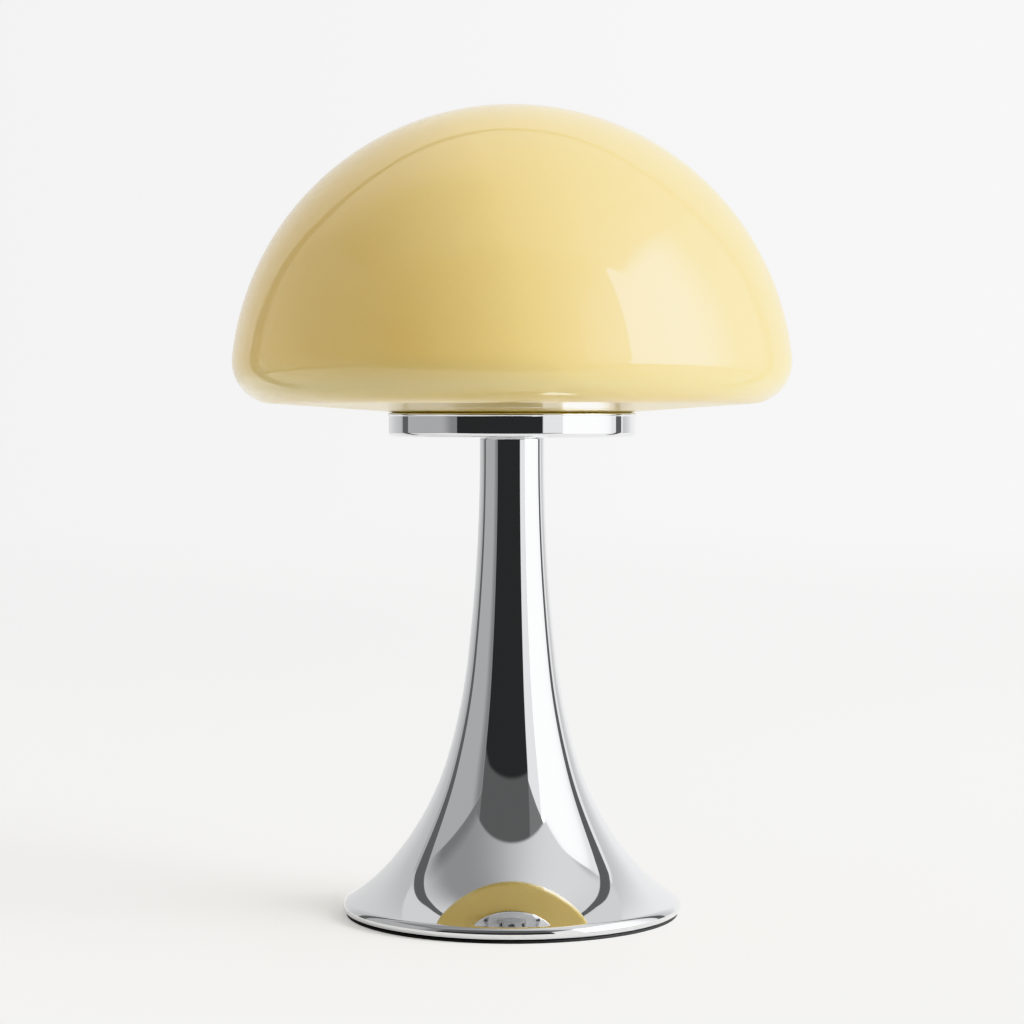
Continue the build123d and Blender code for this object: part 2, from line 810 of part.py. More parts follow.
# aluminium board with its light-emitting chips, at the mouth of the housing
board_radius = globe_rim_radius - housing_wall - led_board_gap
board_foot = housing_top - led_board_thickness
with BuildPart() as led_board:
    with BuildSketch(Plane.XY.offset(board_foot)):
        Circle(board_radius)
    extrude(amount=led_board_thickness)
finish(led_board, "led_board")

with BuildPart() as led_chips:
    with BuildSketch(Plane.XY.offset(housing_top)):
        with PolarLocations(led_circle_radius, led_count):
            Rectangle(led_size, led_size)
    extrude(amount=led_height)
finish(led_chips, "led_chips")

# driver board that stands inside the housing, under the aluminium board
with BuildPart() as driver_board:
    with BuildSketch(Plane.XY.offset(board_foot)):
        Rectangle(driver_width, driver_thickness)
    extrude(amount=-driver_length)
finish(driver_board, "driver_board")
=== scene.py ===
import json
import math

import bmesh
import bpy
import mathutils
import numpy as np
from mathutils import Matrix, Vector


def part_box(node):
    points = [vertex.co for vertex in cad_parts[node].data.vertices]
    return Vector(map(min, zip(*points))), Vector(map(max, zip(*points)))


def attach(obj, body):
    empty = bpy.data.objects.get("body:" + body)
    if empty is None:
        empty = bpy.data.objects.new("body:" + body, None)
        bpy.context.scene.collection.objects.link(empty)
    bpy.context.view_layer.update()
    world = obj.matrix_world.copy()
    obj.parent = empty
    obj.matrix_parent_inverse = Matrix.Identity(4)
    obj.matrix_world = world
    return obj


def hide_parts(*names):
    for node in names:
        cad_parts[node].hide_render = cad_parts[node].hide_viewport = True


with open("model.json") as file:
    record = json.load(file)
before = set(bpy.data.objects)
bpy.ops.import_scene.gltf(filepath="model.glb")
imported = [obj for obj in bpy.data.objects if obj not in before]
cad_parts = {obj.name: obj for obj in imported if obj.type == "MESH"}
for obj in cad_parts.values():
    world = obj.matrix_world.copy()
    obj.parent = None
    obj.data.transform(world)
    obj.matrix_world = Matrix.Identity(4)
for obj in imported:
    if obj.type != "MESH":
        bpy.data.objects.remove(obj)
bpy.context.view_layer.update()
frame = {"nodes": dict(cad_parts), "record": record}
nodes = frame["nodes"]
mm = 0.001  # sizes in the dictionaries are in millimetres, the scene is in metres
joinDistance = 1e-6  # points closer than this, in metres, become one
leastEdge = 1e-7  # and edges shorter than this are dropped
print("frame loaded,", len(nodes), "nodes")


def addNode(tree, kind, sockets=None, **settings):
    # one node: settings are its properties, sockets are values or links for its inputs
    node = tree.nodes.new(kind)
    for name, value in settings.items():
        setattr(node, name, value)
    for socket, value in (sockets or {}).items():
        if isinstance(value, bpy.types.NodeSocket):
            tree.links.new(value, node.inputs[socket])
        else:
            node.inputs[socket].default_value = value
    return node


def calc(tree, operation, first, second=0.0):
    # one arithmetic step on one or two values
    return addNode(tree, "ShaderNodeMath", {0: first, 1: second}, operation=operation).outputs[0]


def fullTurn(count):
    # angles all the way round, without the doubled last one
    return np.linspace(0.0, 2.0 * math.pi, count, endpoint=False)


def easeStep(tree, value, middle, blur, low=0.0, high=1.0):
    # goes from low to high where value passes middle, smoothly over a width of blur
    sockets = {
        "Value": value,
        "From Min": middle - blur / 2,
        "From Max": middle + blur / 2,
        "To Min": low,
        "To Max": high,
    }
    return addNode(
        tree, "ShaderNodeMapRange", sockets, interpolation_type="SMOOTHSTEP"
    ).outputs[0]


def easeWindow(tree, value, start, end, blur):
    # 1 between start and end, 0 outside, with soft ends
    rise = easeStep(tree, value, start, blur)
    fall = easeStep(tree, value, end, blur, 1.0, 0.0)
    return calc(tree, "MULTIPLY", rise, fall)


def blendLevels(tree, share, below, above):
    # below where share is 0, above where it is 1
    return addNode(
        tree, "ShaderNodeMix", {0: share, 2: below, 3: above}, data_type="FLOAT"
    ).outputs[0]


def blendColors(tree, share, first, second):
    mix = addNode(tree, "ShaderNodeMix", {0: share, 6: first, 7: second}, data_type="RGBA")
    return mix.outputs[2]


def newMaterial(name, **values):
    # a Principled surface: values are set on its own sockets
    material = bpy.data.materials.new(name)
    material.use_nodes = True
    tree = material.node_tree
    shader = tree.nodes["Principled BSDF"]
    for socket, value in values.items():
        shader.inputs[socket].default_value = value
    return material, tree, shader


cameraValues = {
    "lens": 95.29,  # mm
    "sensor": 36.0,  # mm across
    "distance": 1.4519,
    "height": 0.268,
    "pitch": 2.071,  # degrees below level
}


def placeCamera(values):
    data = bpy.data.cameras.new("lampCamera")
    data.lens = values["lens"]
    data.sensor_width = values["sensor"]
    camera = bpy.data.objects.new("lampCamera", data)
    camera.location = (0.0, -values["distance"], values["height"])
    camera.rotation_euler = (math.radians(90.0 - values["pitch"]), 0.0, 0.0)
    bpy.context.scene.collection.objects.link(camera)
    bpy.context.scene.camera = camera


placeCamera(cameraValues)
bpy.context.scene.view_settings.view_transform = "Khronos PBR Neutral"
print("camera placed")


# studio: soft panels round the lamp, a pale room behind them.
# Directions are seen from the lamp: 0 is towards the camera, + is to the camera's right.
studioValues = {
    "roomLeft": 1.10,
    "roomRight": 1.46,
    "roomTurn": 0.50,  # how wide the change from left to right is
    "backLeft": 0.88,
    "backRight": 1.20,
    "backBlur": 0.5,
    "sideLeft": 0.72,
    "sideRight": 0.82,
    "sideBlur": 60.0,
    "sideEnd": 140.0,
    "sideEndBlur": 30.0,
    "under": 0.10,
    "panelFoot": -14.0,
    "panelBlur": 1.5,  # softness of the panels' upright edges and feet, degrees
    "topBlur": 0.04,  # and of their tops
    "gap": 0.08,
    "gapStart": -52.0,
    "gapEnd": 28.5,
    "gapTop": 0.60,  # tops are slopes: height over distance
    "gapTopBlur": 0.06,
    "gapGrey": 0.19,
    "softbox": 10.0,
    "softboxStart": 48.5,
    "softboxFade": 91.0,
    "softboxFadeBlur": 34.0,
    "softboxTop": 1.24,
    "softboxDrop": 0.26,  # how much the top comes down towards the back
    "dropTurn": 80.0,
    "dropBlur": 70.0,
    "fill": 1.16,
    "fillEnd": 125.0,
    "fillEndBlur": 3.0,
    "cardNear": 0.36,
    "cardFar": 0.60,
    "cardTurn": -62.0,  # where the card changes from far to near
    "cardTurnBlur": 14.0,
    "cardStart": -125.0,
    "cardTop": 0.80,
    "shadow": 0.30,
    "shadowEnd": 108.0,
    "shadowBlur": 22.0,
    "ceiling": 0.92,
    "ceilingLeft": 0.42,
    "ceilingRight": 1.0,
    "ceilingTurnBlur": 150.0,
    "ceilingBack": 110.0,
    "ceilingBackBlur": 40.0,
    "ceilingAhead": 1.50,
    "ceilingAside": 1.02,
    "ceilingBehind": 1.38,
    "ceilingBlur": 0.10,
    "ceilingAsideBlur": 0.30,
    "leastDistance": 0.001,  # keeps the slopes finite
    "mapSize": 1024,
}


def roomLevel(tree, sideways, values):
    # the pale room is brighter on the right: a smooth step along the sideways direction
    return easeStep(
        tree, sideways, 0.0, values["roomTurn"], values["roomLeft"], values["roomRight"]
    )


def lightStudio(values):
    world = bpy.data.worlds.new("studio")
    bpy.context.scene.world = world
    world.use_nodes = True
    tree = world.node_tree
    tree.nodes.clear()
    place = addNode(tree, "ShaderNodeTexCoord").outputs["Generated"]
    axes = addNode(tree, "ShaderNodeSeparateXYZ", {0: place})
    towards = calc(tree, "MULTIPLY", axes.outputs[1], -1.0)
    turn = calc(tree, "DEGREES", calc(tree, "ARCTAN2", axes.outputs[0], towards))
    away = calc(tree, "ABSOLUTE", turn)
    rise = calc(tree, "DEGREES", calc(tree, "ARCSINE", axes.outputs[2]))
    least = values["leastDistance"]
    aside = calc(tree, "MAXIMUM", calc(tree, "ABSOLUTE", axes.outputs[0]), least)
    forward = calc(tree, "MAXIMUM", towards, least)
    backward = calc(tree, "MAXIMUM", axes.outputs[1], least)
    slopeAhead = calc(tree, "DIVIDE", axes.outputs[2], forward)
    slopeAside = calc(tree, "DIVIDE", axes.outputs[2], aside)
    slopeBehind = calc(tree, "DIVIDE", axes.outputs[2], backward)
    edge, topEdge = values["panelBlur"], values["topBlur"]

    # the sides of the studio pass softly into the paler back
    back = easeStep(
        tree, axes.outputs[0], 0.0, values["backBlur"], values["backLeft"], values["backRight"]
    )
    side = easeStep(tree, turn, 0.0, values["sideBlur"], values["sideLeft"], values["sideRight"])
    ahead = easeStep(tree, away, values["sideEnd"], values["sideEndBlur"], 1.0, 0.0)
    level = blendLevels(tree, ahead, back, side)

    # a dark floor lies below the panels, in front of the table's edge
    above = easeStep(tree, rise, values["panelFoot"], edge)
    inFront = easeStep(tree, away, values["fillEnd"], values["fillEndBlur"], 1.0, 0.0)
    under = calc(tree, "MULTIPLY", inFront, calc(tree, "SUBTRACT", 1.0, above))
    level = blendLevels(tree, under, level, values["under"])

    # a shadow between the panels' tops and the ceiling
    shadow = calc(
        tree,
        "MULTIPLY",
        easeStep(tree, away, values["shadowEnd"], values["shadowBlur"], 1.0, 0.0),
        easeStep(tree, slopeAside, values["cardTop"], topEdge),
    )
    level = blendLevels(tree, shadow, level, values["shadow"])

    # dark gap behind the camera, grey above it
    gapWindow = easeWindow(tree, turn, values["gapStart"], values["gapEnd"], edge)
    level = blendLevels(tree, calc(tree, "MULTIPLY", gapWindow, above), level, values["gapGrey"])
    dark = easeStep(tree, slopeAhead, values["gapTop"], values["gapTopBlur"], 1.0, 0.0)
    level = blendLevels(tree, calc(tree, "MULTIPLY", gapWindow, dark), level, values["gap"])

    # grey card on the left, paler away from the camera
    card = easeWindow(tree, turn, values["cardStart"], values["gapStart"], edge)
    low = easeStep(tree, slopeAside, values["cardTop"], topEdge, 1.0, 0.0)
    card = calc(tree, "MULTIPLY", calc(tree, "MULTIPLY", card, low), above)
    cardLevel = easeStep(
        tree, turn, values["cardTurn"], values["cardTurnBlur"], values["cardFar"], values["cardNear"]
    )
    level = blendLevels(tree, card, level, cardLevel)

    # pale fill on the right, and in it the bright softbox that fades towards the back
    topNear = values["softboxTop"]
    topFar = topNear - values["softboxDrop"]
    top = easeStep(tree, turn, values["dropTurn"], values["dropBlur"], topNear, topFar)
    over = calc(tree, "SUBTRACT", slopeAside, top)
    low = calc(tree, "MULTIPLY", easeStep(tree, over, 0.0, topEdge, 1.0, 0.0), above)
    fill = easeWindow(tree, turn, values["gapEnd"], values["fillEnd"], edge)
    level = blendLevels(tree, calc(tree, "MULTIPLY", fill, low), level, values["fill"])
    bright = calc(
        tree,
        "MULTIPLY",
        easeStep(tree, turn, values["softboxStart"], edge),
        easeStep(tree, turn, values["softboxFade"], values["softboxFadeBlur"], 1.0, 0.0),
    )
    level = blendLevels(tree, calc(tree, "MULTIPLY", bright, low), level, values["softbox"])

    # ceiling: paler to the right and at the back
    front = easeStep(
        tree, turn, 0.0, values["ceilingTurnBlur"], values["ceilingLeft"], values["ceilingRight"]
    )
    rear = easeStep(tree, away, values["ceilingBack"], values["ceilingBackBlur"])
    ceiling = blendLevels(tree, rear, front, values["ceiling"])
    share = calc(
        tree,
        "MULTIPLY",
        easeStep(tree, slopeAhead, values["ceilingAhead"], values["ceilingBlur"]),
        easeStep(tree, slopeAside, values["ceilingAside"], values["ceilingAsideBlur"]),
    )
    overBack = easeStep(tree, slopeBehind, values["ceilingBehind"], values["ceilingBlur"])
    share = calc(tree, "MULTIPLY", share, overBack)
    level = blendLevels(tree, share, level, ceiling)

    # straight to the camera the room is plain and pale all round
    room = roomLevel(tree, axes.outputs[0], values)
    direct = addNode(tree, "ShaderNodeLightPath").outputs["Is Camera Ray"]
    level = blendLevels(tree, direct, level, room)
    shine = addNode(tree, "ShaderNodeBackground", {"Color": (1.0, 1.0, 1.0, 1.0), "Strength": level})
    addNode(tree, "ShaderNodeOutputWorld", {"Surface": shine.outputs[0]})
    world.cycles.sampling_method = "MANUAL"
    world.cycles.sample_map_resolution = values["mapSize"]


lightStudio(studioValues)

# two large weak lamps that soften the shadows and aren't seen in reflections
lampValues = {
    "aim": (0.0, 0.0, 0.32),
    "size": 1.0,
    "leftPlace": (-1.1, -0.7, 0.75),
    "leftPower": 4.0,
    "leftColor": (1.0, 0.95, 0.84),
    "rightPlace": (1.25, 0.45, 0.55),
    "rightPower": 6.5,
    "rightColor": (1.0, 1.0, 1.0),
}


def hangLamp(side, values):
    name = side + "Lamp"
    data = bpy.data.lights.new(name, "AREA")
    data.size = values["size"]
    data.energy = values[side + "Power"]
    data.color = values[side + "Color"]
    lamp = bpy.data.objects.new(name, data)
    lamp.location = values[side + "Place"]
    towards = mathutils.Vector(values["aim"]) - lamp.location
    lamp.rotation_euler = towards.to_track_quat("-Z", "Y").to_euler()
    lamp.visible_glossy = False
    lamp.visible_camera = False
    bpy.context.scene.collection.objects.link(lamp)


hangLamp("left", lampValues)
hangLamp("right", lampValues)

floorValues = {
    "radius": 14.0,
    "drop": 0.0001,  # a hair under the ring, so that the two faces don't fight
    "sides": 96,
    "tableFront": -0.52,
    "tableSide": 0.95,
    "tableBlur": 0.02,
    "fadeMiddle": 3.5,
    "fadeBlur": 5.0,
    "color": (0.63, 0.63, 0.627, 1.0),
    "roughness": 0.9,
    # the floor's own emission: an even brightening, plus painted light that makes the right side
    # brighter than the left
    "paintedLightLeft": 0.44,
    "paintedLightRight": 0.56,
    "paintedLightMiddle": 0.1,
    "glowBlur": 0.8,
}


def layFloor(values):
    # a flat disc that thins out into the room and is clear from below; reflections see only the
    # table top in its middle. Its emission brightens the whole floor evenly, and the extra on the
    # right is painted light, as if lit from that side
    around = fullTurn(values["sides"])
    points = np.stack([np.cos(around), np.sin(around), 0.0 * around], axis=1) * values["radius"]
    points[:, 2] = -values["drop"]
    mesh = bpy.data.meshes.new("studioFloor")
    mesh.from_pydata(points.tolist(), [], [list(range(len(points)))])
    floor = bpy.data.objects.new("studioFloor", mesh)
    bpy.context.scene.collection.objects.link(floor)
    material, tree, shader = newMaterial("studioFloor", Roughness=values["roughness"])
    shader.inputs["Base Color"].default_value = values["color"]
    shader.inputs["Specular IOR Level"].default_value = 0.0
    shader.inputs["Emission Color"].default_value = values["color"]
    place = addNode(tree, "ShaderNodeTexCoord").outputs["Object"]
    axes = addNode(tree, "ShaderNodeSeparateXYZ", {0: place})
    # emission across x: even brightening plus painted light, stronger on the right
    glow = easeStep(
        tree,
        axes.outputs[0],
        values["paintedLightMiddle"],
        values["glowBlur"],
        values["paintedLightLeft"],
        values["paintedLightRight"],
    )
    tree.links.new(glow, shader.inputs["Emission Strength"])
    width = calc(tree, "ABSOLUTE", axes.outputs[0])
    table = calc(
        tree,
        "MULTIPLY",
        easeStep(tree, width, values["tableSide"], values["tableBlur"], 1.0, 0.0),
        easeStep(tree, axes.outputs[1], values["tableFront"], values["tableBlur"]),
    )
    direct = addNode(tree, "ShaderNodeLightPath").outputs["Is Camera Ray"]
    away = addNode(tree, "ShaderNodeVectorMath", {0: place}, operation="LENGTH").outputs["Value"]
    near = easeStep(tree, away, values["fadeMiddle"], values["fadeBlur"], 1.0, 0.0)
    share = calc(tree, "MULTIPLY", calc(tree, "MAXIMUM", table, direct), near)
    beneath = addNode(tree, "ShaderNodeNewGeometry").outputs["Backfacing"]
    share = calc(tree, "MULTIPLY", share, calc(tree, "SUBTRACT", 1.0, beneath))
    clear = addNode(tree, "ShaderNodeBsdfTransparent")
    both = addNode(
        tree, "ShaderNodeMixShader", {0: share, 1: clear.outputs[0], 2: shader.outputs[0]}
    )
    tree.links.new(both.outputs[0], tree.nodes["Material Output"].inputs["Surface"])
    mesh.materials.append(material)


layFloor(floorValues)

hoopValues = {
    "halfWidth": 0.385,
    "top": 0.745,
    "cornerRadius": 0.15,
    "back": 0.172,
    "sideWidth": 0.074,
    "topWidth": 0.028,
    "taperStart": 0.32,
    "level": 0.20,
    "step": 0.02,
    "cornerStep": 0.01,
}


def hangHoop(values):
    # a grey ribbon that arches over the lamp, seen only in reflections: the arch is a path (x, z),
    # and across it y runs from back - width to back; the width narrows from the sides to the top
    half, top, radius = values["halfWidth"], values["top"], values["cornerRadius"]
    corner = (half - radius, top - radius)
    right = np.concatenate(
        [
            straightRun((half, 0.0), (half, corner[1]), values["step"]),
            arcRun(corner, radius, 0.0, 90.0, values["cornerStep"]),
            straightRun((corner[0], top), (0.0, top), values["step"]),
        ]
    )
    path = np.concatenate([right, (right * (-1.0, 1.0))[::-1]])
    taper = values["taperStart"]
    share = np.clip((path[:, 1] - taper) / (top - taper), 0.0, 1.0)
    width = values["sideWidth"] + (values["topWidth"] - values["sideWidth"]) * share
    rear = np.stack([path[:, 0], 0.0 * width + values["back"], path[:, 1]], axis=1)
    near = np.stack([path[:, 0], values["back"] - width, path[:, 1]], axis=1)
    hoop = gridObject("studioHoop", np.stack([near, rear]), False, False)
    material, tree, _ = newMaterial("studioHoop", Roughness=1.0)
    glow = addNode(tree, "ShaderNodeEmission", {"Strength": values["level"]})
    tree.links.new(glow.outputs[0], tree.nodes["Material Output"].inputs["Surface"])
    hoop.data.materials.append(material)
    hoop.visible_camera = False
    hoop.visible_diffuse = False
    hoop.visible_shadow = False
    hoop.visible_transmission = False


def straightRun(start, end, step):
    # points start + share * (end - start), one every step or closer, without the end
    count = max(1, math.ceil(math.dist(start, end) / step))
    share = np.linspace(0.0, 1.0, count, endpoint=False)[:, None]
    return np.array(start) + share * (np.array(end) - np.array(start))


def arcRun(centre, radius, start, end, step):
    # points centre + radius * (cos, sin) between two angles in degrees, without the last one
    sweep = math.radians(end - start)
    count = max(3, math.ceil(abs(sweep) * radius / step))
    angles = math.radians(start) + np.linspace(0.0, sweep, count, endpoint=False)
    across = centre[0] + radius * np.cos(angles)
    return np.stack([across, centre[1] + radius * np.sin(angles)], axis=1)


def pointAt(centre, radius, angle):
    # centre + radius * (cos, sin) of an angle in degrees
    angle = math.radians(angle)
    return np.array(centre) + radius * np.array([math.cos(angle), math.sin(angle)])


def roundedRun(corners, roundings, step, arcStep):
    # straight runs joined by arcs: each corner is cut back by rounding / tan(half its angle)
    parts, last = [], np.array(corners[0], float)
    for before, corner, after, rounding in zip(corners, corners[1:], corners[2:], roundings):
        back = np.array(before, float) - corner
        ahead = np.array(after, float) - corner
        back, ahead = back / np.linalg.norm(back), ahead / np.linalg.norm(ahead)
        half = math.acos(np.clip(back @ ahead, -1.0, 1.0)) / 2
        if rounding <= 0.0:
            parts.append(straightRun(last, corner, step))
            last = np.array(corner, float)
            continue
        first = corner + back * rounding / math.tan(half)
        second = corner + ahead * rounding / math.tan(half)
        middle = back + ahead
        centre = corner + middle / np.linalg.norm(middle) * rounding / math.sin(half)
        start = math.degrees(math.atan2(first[1] - centre[1], first[0] - centre[0]))
        end = math.degrees(math.atan2(second[1] - centre[1], second[0] - centre[0]))
        end = start + (end - start + 180.0) % 360.0 - 180.0
        parts += [straightRun(last, first, step), arcRun(centre, rounding, start, end, arcStep)]
        last = second
    parts.append(straightRun(last, corners[-1], step))
    return np.concatenate(parts)


def leaningRun(start, lean, arcs, step):
    # tangent arcs going down: a positive turn leans the outline outwards, a negative one inwards.
    # A point lies radius * (cos of the first lean - cos of its own) further out and radius * (sin
    # of its own - sin of the first) further down, with both signs changed for a negative turn
    parts, place = [], np.array(start, float)
    for radius, turn in arcs:
        side = math.copysign(1.0, turn)
        count = max(3, math.ceil(math.radians(abs(turn)) * radius / step))
        angles = np.radians(np.linspace(lean, lean + turn, count + 1))
        across = place[0] + side * radius * (np.cos(angles[0]) - np.cos(angles))
        down = place[1] - side * radius * (np.sin(angles) - np.sin(angles[0]))
        points = np.stack([across, down], axis=1)
        parts.append(points[:-1])
        place, lean = points[-1], lean + turn
    return np.concatenate(parts), place


def gridObject(name, points, closedRows, closedColumns):
    # a mesh from a grid of points: rows follow the outline, columns go round
    rows, columns = points.shape[:2]
    index = np.arange(rows * columns).reshape(rows, columns)
    below = np.roll(index, -1, axis=0)
    beside = np.roll(index, -1, axis=1)
    corner = np.roll(below, -1, axis=1)
    quads = np.stack([index, beside, corner, below], axis=-1)
    quads = quads[: rows if closedRows else rows - 1, : columns if closedColumns else columns - 1]
    quads = quads.reshape(-1, 4)
    mesh = bpy.data.meshes.new(name)
    mesh.vertices.add(rows * columns)
    mesh.vertices.foreach_set("co", points.reshape(-1).astype(np.float32))
    mesh.loops.add(quads.size)
    mesh.loops.foreach_set("vertex_index", quads.reshape(-1).astype(np.int32))
    mesh.polygons.add(len(quads))
    mesh.polygons.foreach_set("loop_start", np.arange(0, quads.size, 4, dtype=np.int32))
    mesh.update(calc_edges=True)
    piece = bpy.data.objects.new(name, mesh)
    bpy.context.scene.collection.objects.link(piece)
    return piece


def spun(across, height, turn):
    # point (u, v) is (r cos u, r sin u, z): r and z may themselves change with u and v
    return np.stack([across * np.cos(turn), across * np.sin(turn), height + 0.0 * turn], axis=-1)


def turnedPiece(name, outline, around, sharp=40.0):
    # surface of revolution: point (u, v) is (r(v) cos u, r(v) sin u, z(v)).
    # The outline runs with the solid on its right hand; an end on the axis closes into a pole.
    points = spun(outline[:, :1] * mm, outline[:, 1:] * mm, fullTurn(around))
    closed = outline[0, 0] > 0.0
    piece = gridObject(name, points, closed, True)
    tidyMesh(piece.data, sharp)
    return piece


def tidyMesh(mesh, sharp):
    # joins the doubled points at the poles, drops faces of no size, points faces outwards
    work = bmesh.new()
    work.from_mesh(mesh)
    bmesh.ops.remove_doubles(work, verts=work.verts, dist=joinDistance)
    bmesh.ops.dissolve_degenerate(work, edges=work.edges, dist=leastEdge)
    bmesh.ops.recalc_face_normals(work, faces=work.faces)
    work.to_mesh(mesh)
    work.free()
    mesh.polygons.foreach_set("use_smooth", np.ones(len(mesh.polygons), bool))
    mesh.set_sharp_from_angle(angle=math.radians(sharp))


def addPiece(piece, body, materialSlot, *replaced):
    # rides on a body, stands for its nodes and takes the finish of its slot
    piece.data.materials.clear()
    piece.data.materials.append(finishes[materialSlot])
    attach(piece, body)
    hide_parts(*replaced)


def noiseLevel(tree, place, scale, detail):
    return addNode(
        tree, "ShaderNodeTexNoise", {"Vector": place, "Scale": scale, "Detail": detail}
    ).outputs["Fac"]


chromeValues = {
    "color": (0.70, 0.705, 0.715, 1.0),
    "hazeScale": 22.0,
    "hazeDetail": 3.0,
    "roughFrom": 0.015,
    "roughTo": 0.045,
}


def chromeFinish(values):
    # polished plate: roughness = roughFrom + noise * (roughTo - roughFrom)
    material, tree, shader = newMaterial("chromePlate", Metallic=1.0)
    shader.inputs["Base Color"].default_value = values["color"]
    place = addNode(tree, "ShaderNodeTexCoord").outputs["Object"]
    haze = noiseLevel(tree, place, values["hazeScale"], values["hazeDetail"])
    sockets = {"Value": haze, "To Min": values["roughFrom"], "To Max": values["roughTo"]}
    rough = addNode(tree, "ShaderNodeMapRange", sockets).outputs[0]
    tree.links.new(rough, shader.inputs["Roughness"])
    return material


opalValues = {
    "cloudScale": 7.0,
    "cloudDetail": 2.0,
    "firstShade": (0.565, 0.49, 0.22, 1.0),
    "secondShade": (0.575, 0.50, 0.235, 1.0),
    # painted shade: a darker, more saturated colour used where the glass faces down
    "paintedShadeColor": (0.585, 0.44, 0.13, 1.0),  # where the glass faces down
    "paintedShadeMiddle": -0.80,  # upward part of the normal
    "paintedShadeBlur": 0.5,
    # painted glow: the upper glass gives off a weak orange light although the lamp is off
    "glowColor": (1.0, 0.48, 0.0, 1.0),
    "glow": 0.19,  # 0 leaves it out
    "glowStart": 0.285,  # height in metres
    "glowBlur": 0.03,
    "scatter": 0.003,  # how far light wanders, metres
    "specular": 0.9,
    "skinMiddle": -0.9,  # upward part of the normal
    "skinBlur": 0.15,
    "roughBelow": 0.36,
    "roughAbove": 0.6,
    "coatBelow": 0.42,
    "coatAbove": 1.0,
    "coatRoughness": 0.015,
    "bend": 1.5,  # refraction of body and coat
}


def opalFinish(values):
    # cased opal glass: light wanders through a soft coloured body under a clear glossy skin.
    # Colour = first + noise * (second - first), moved towards a painted shade colour where the
    # surface faces down, which darkens the underside as if it lay in shade; there the body is
    # smoother and the skin
    # thinner. The glow is painted light: an emission that stands in for light that wanders further
    # than the scatter does, and rises from nothing at the neck's height
    material, tree, shader = newMaterial("opalGlass", IOR=values["bend"])
    place = addNode(tree, "ShaderNodeTexCoord").outputs["Object"]
    cloud = noiseLevel(tree, place, values["cloudScale"], values["cloudDetail"])
    color = blendColors(tree, cloud, values["firstShade"], values["secondShade"])
    facing = addNode(tree, "ShaderNodeNewGeometry").outputs["Normal"]
    upward = addNode(tree, "ShaderNodeSeparateXYZ", {0: facing}).outputs[2]
    # painted shade: share of the darker colour, 1 where the glass faces down
    paintedShadeShare = easeStep(tree, upward, values["paintedShadeMiddle"], values["paintedShadeBlur"], 1.0, 0.0)
    color = blendColors(tree, paintedShadeShare, color, values["paintedShadeColor"])
    tree.links.new(color, shader.inputs["Base Color"])
    height = addNode(tree, "ShaderNodeSeparateXYZ", {0: place}).outputs[2]
    # painted glow: emission that rises from nothing above glowStart
    glow = easeStep(tree, height, values["glowStart"], values["glowBlur"], 0.0, values["glow"])
    tree.links.new(glow, shader.inputs["Emission Strength"])
    shader.inputs["Emission Color"].default_value = values["glowColor"]
    shader.inputs["Subsurface Weight"].default_value = 1.0
    shader.inputs["Subsurface Radius"].default_value = (1.0, 1.0, 1.0)
    shader.inputs["Subsurface Scale"].default_value = values["scatter"]
    shader.inputs["Specular IOR Level"].default_value = values["specular"]
    middle, blur = values["skinMiddle"], values["skinBlur"]
    rough = easeStep(tree, upward, middle, blur, values["roughBelow"], values["roughAbove"])
    tree.links.new(rough, shader.inputs["Roughness"])
    coat = easeStep(tree, upward, middle, blur, values["coatBelow"], values["coatAbove"])
    tree.links.new(coat, shader.inputs["Coat Weight"])
    shader.inputs["Coat Roughness"].default_value = values["coatRoughness"]
    shader.inputs["Coat IOR"].default_value = values["bend"]
    return material


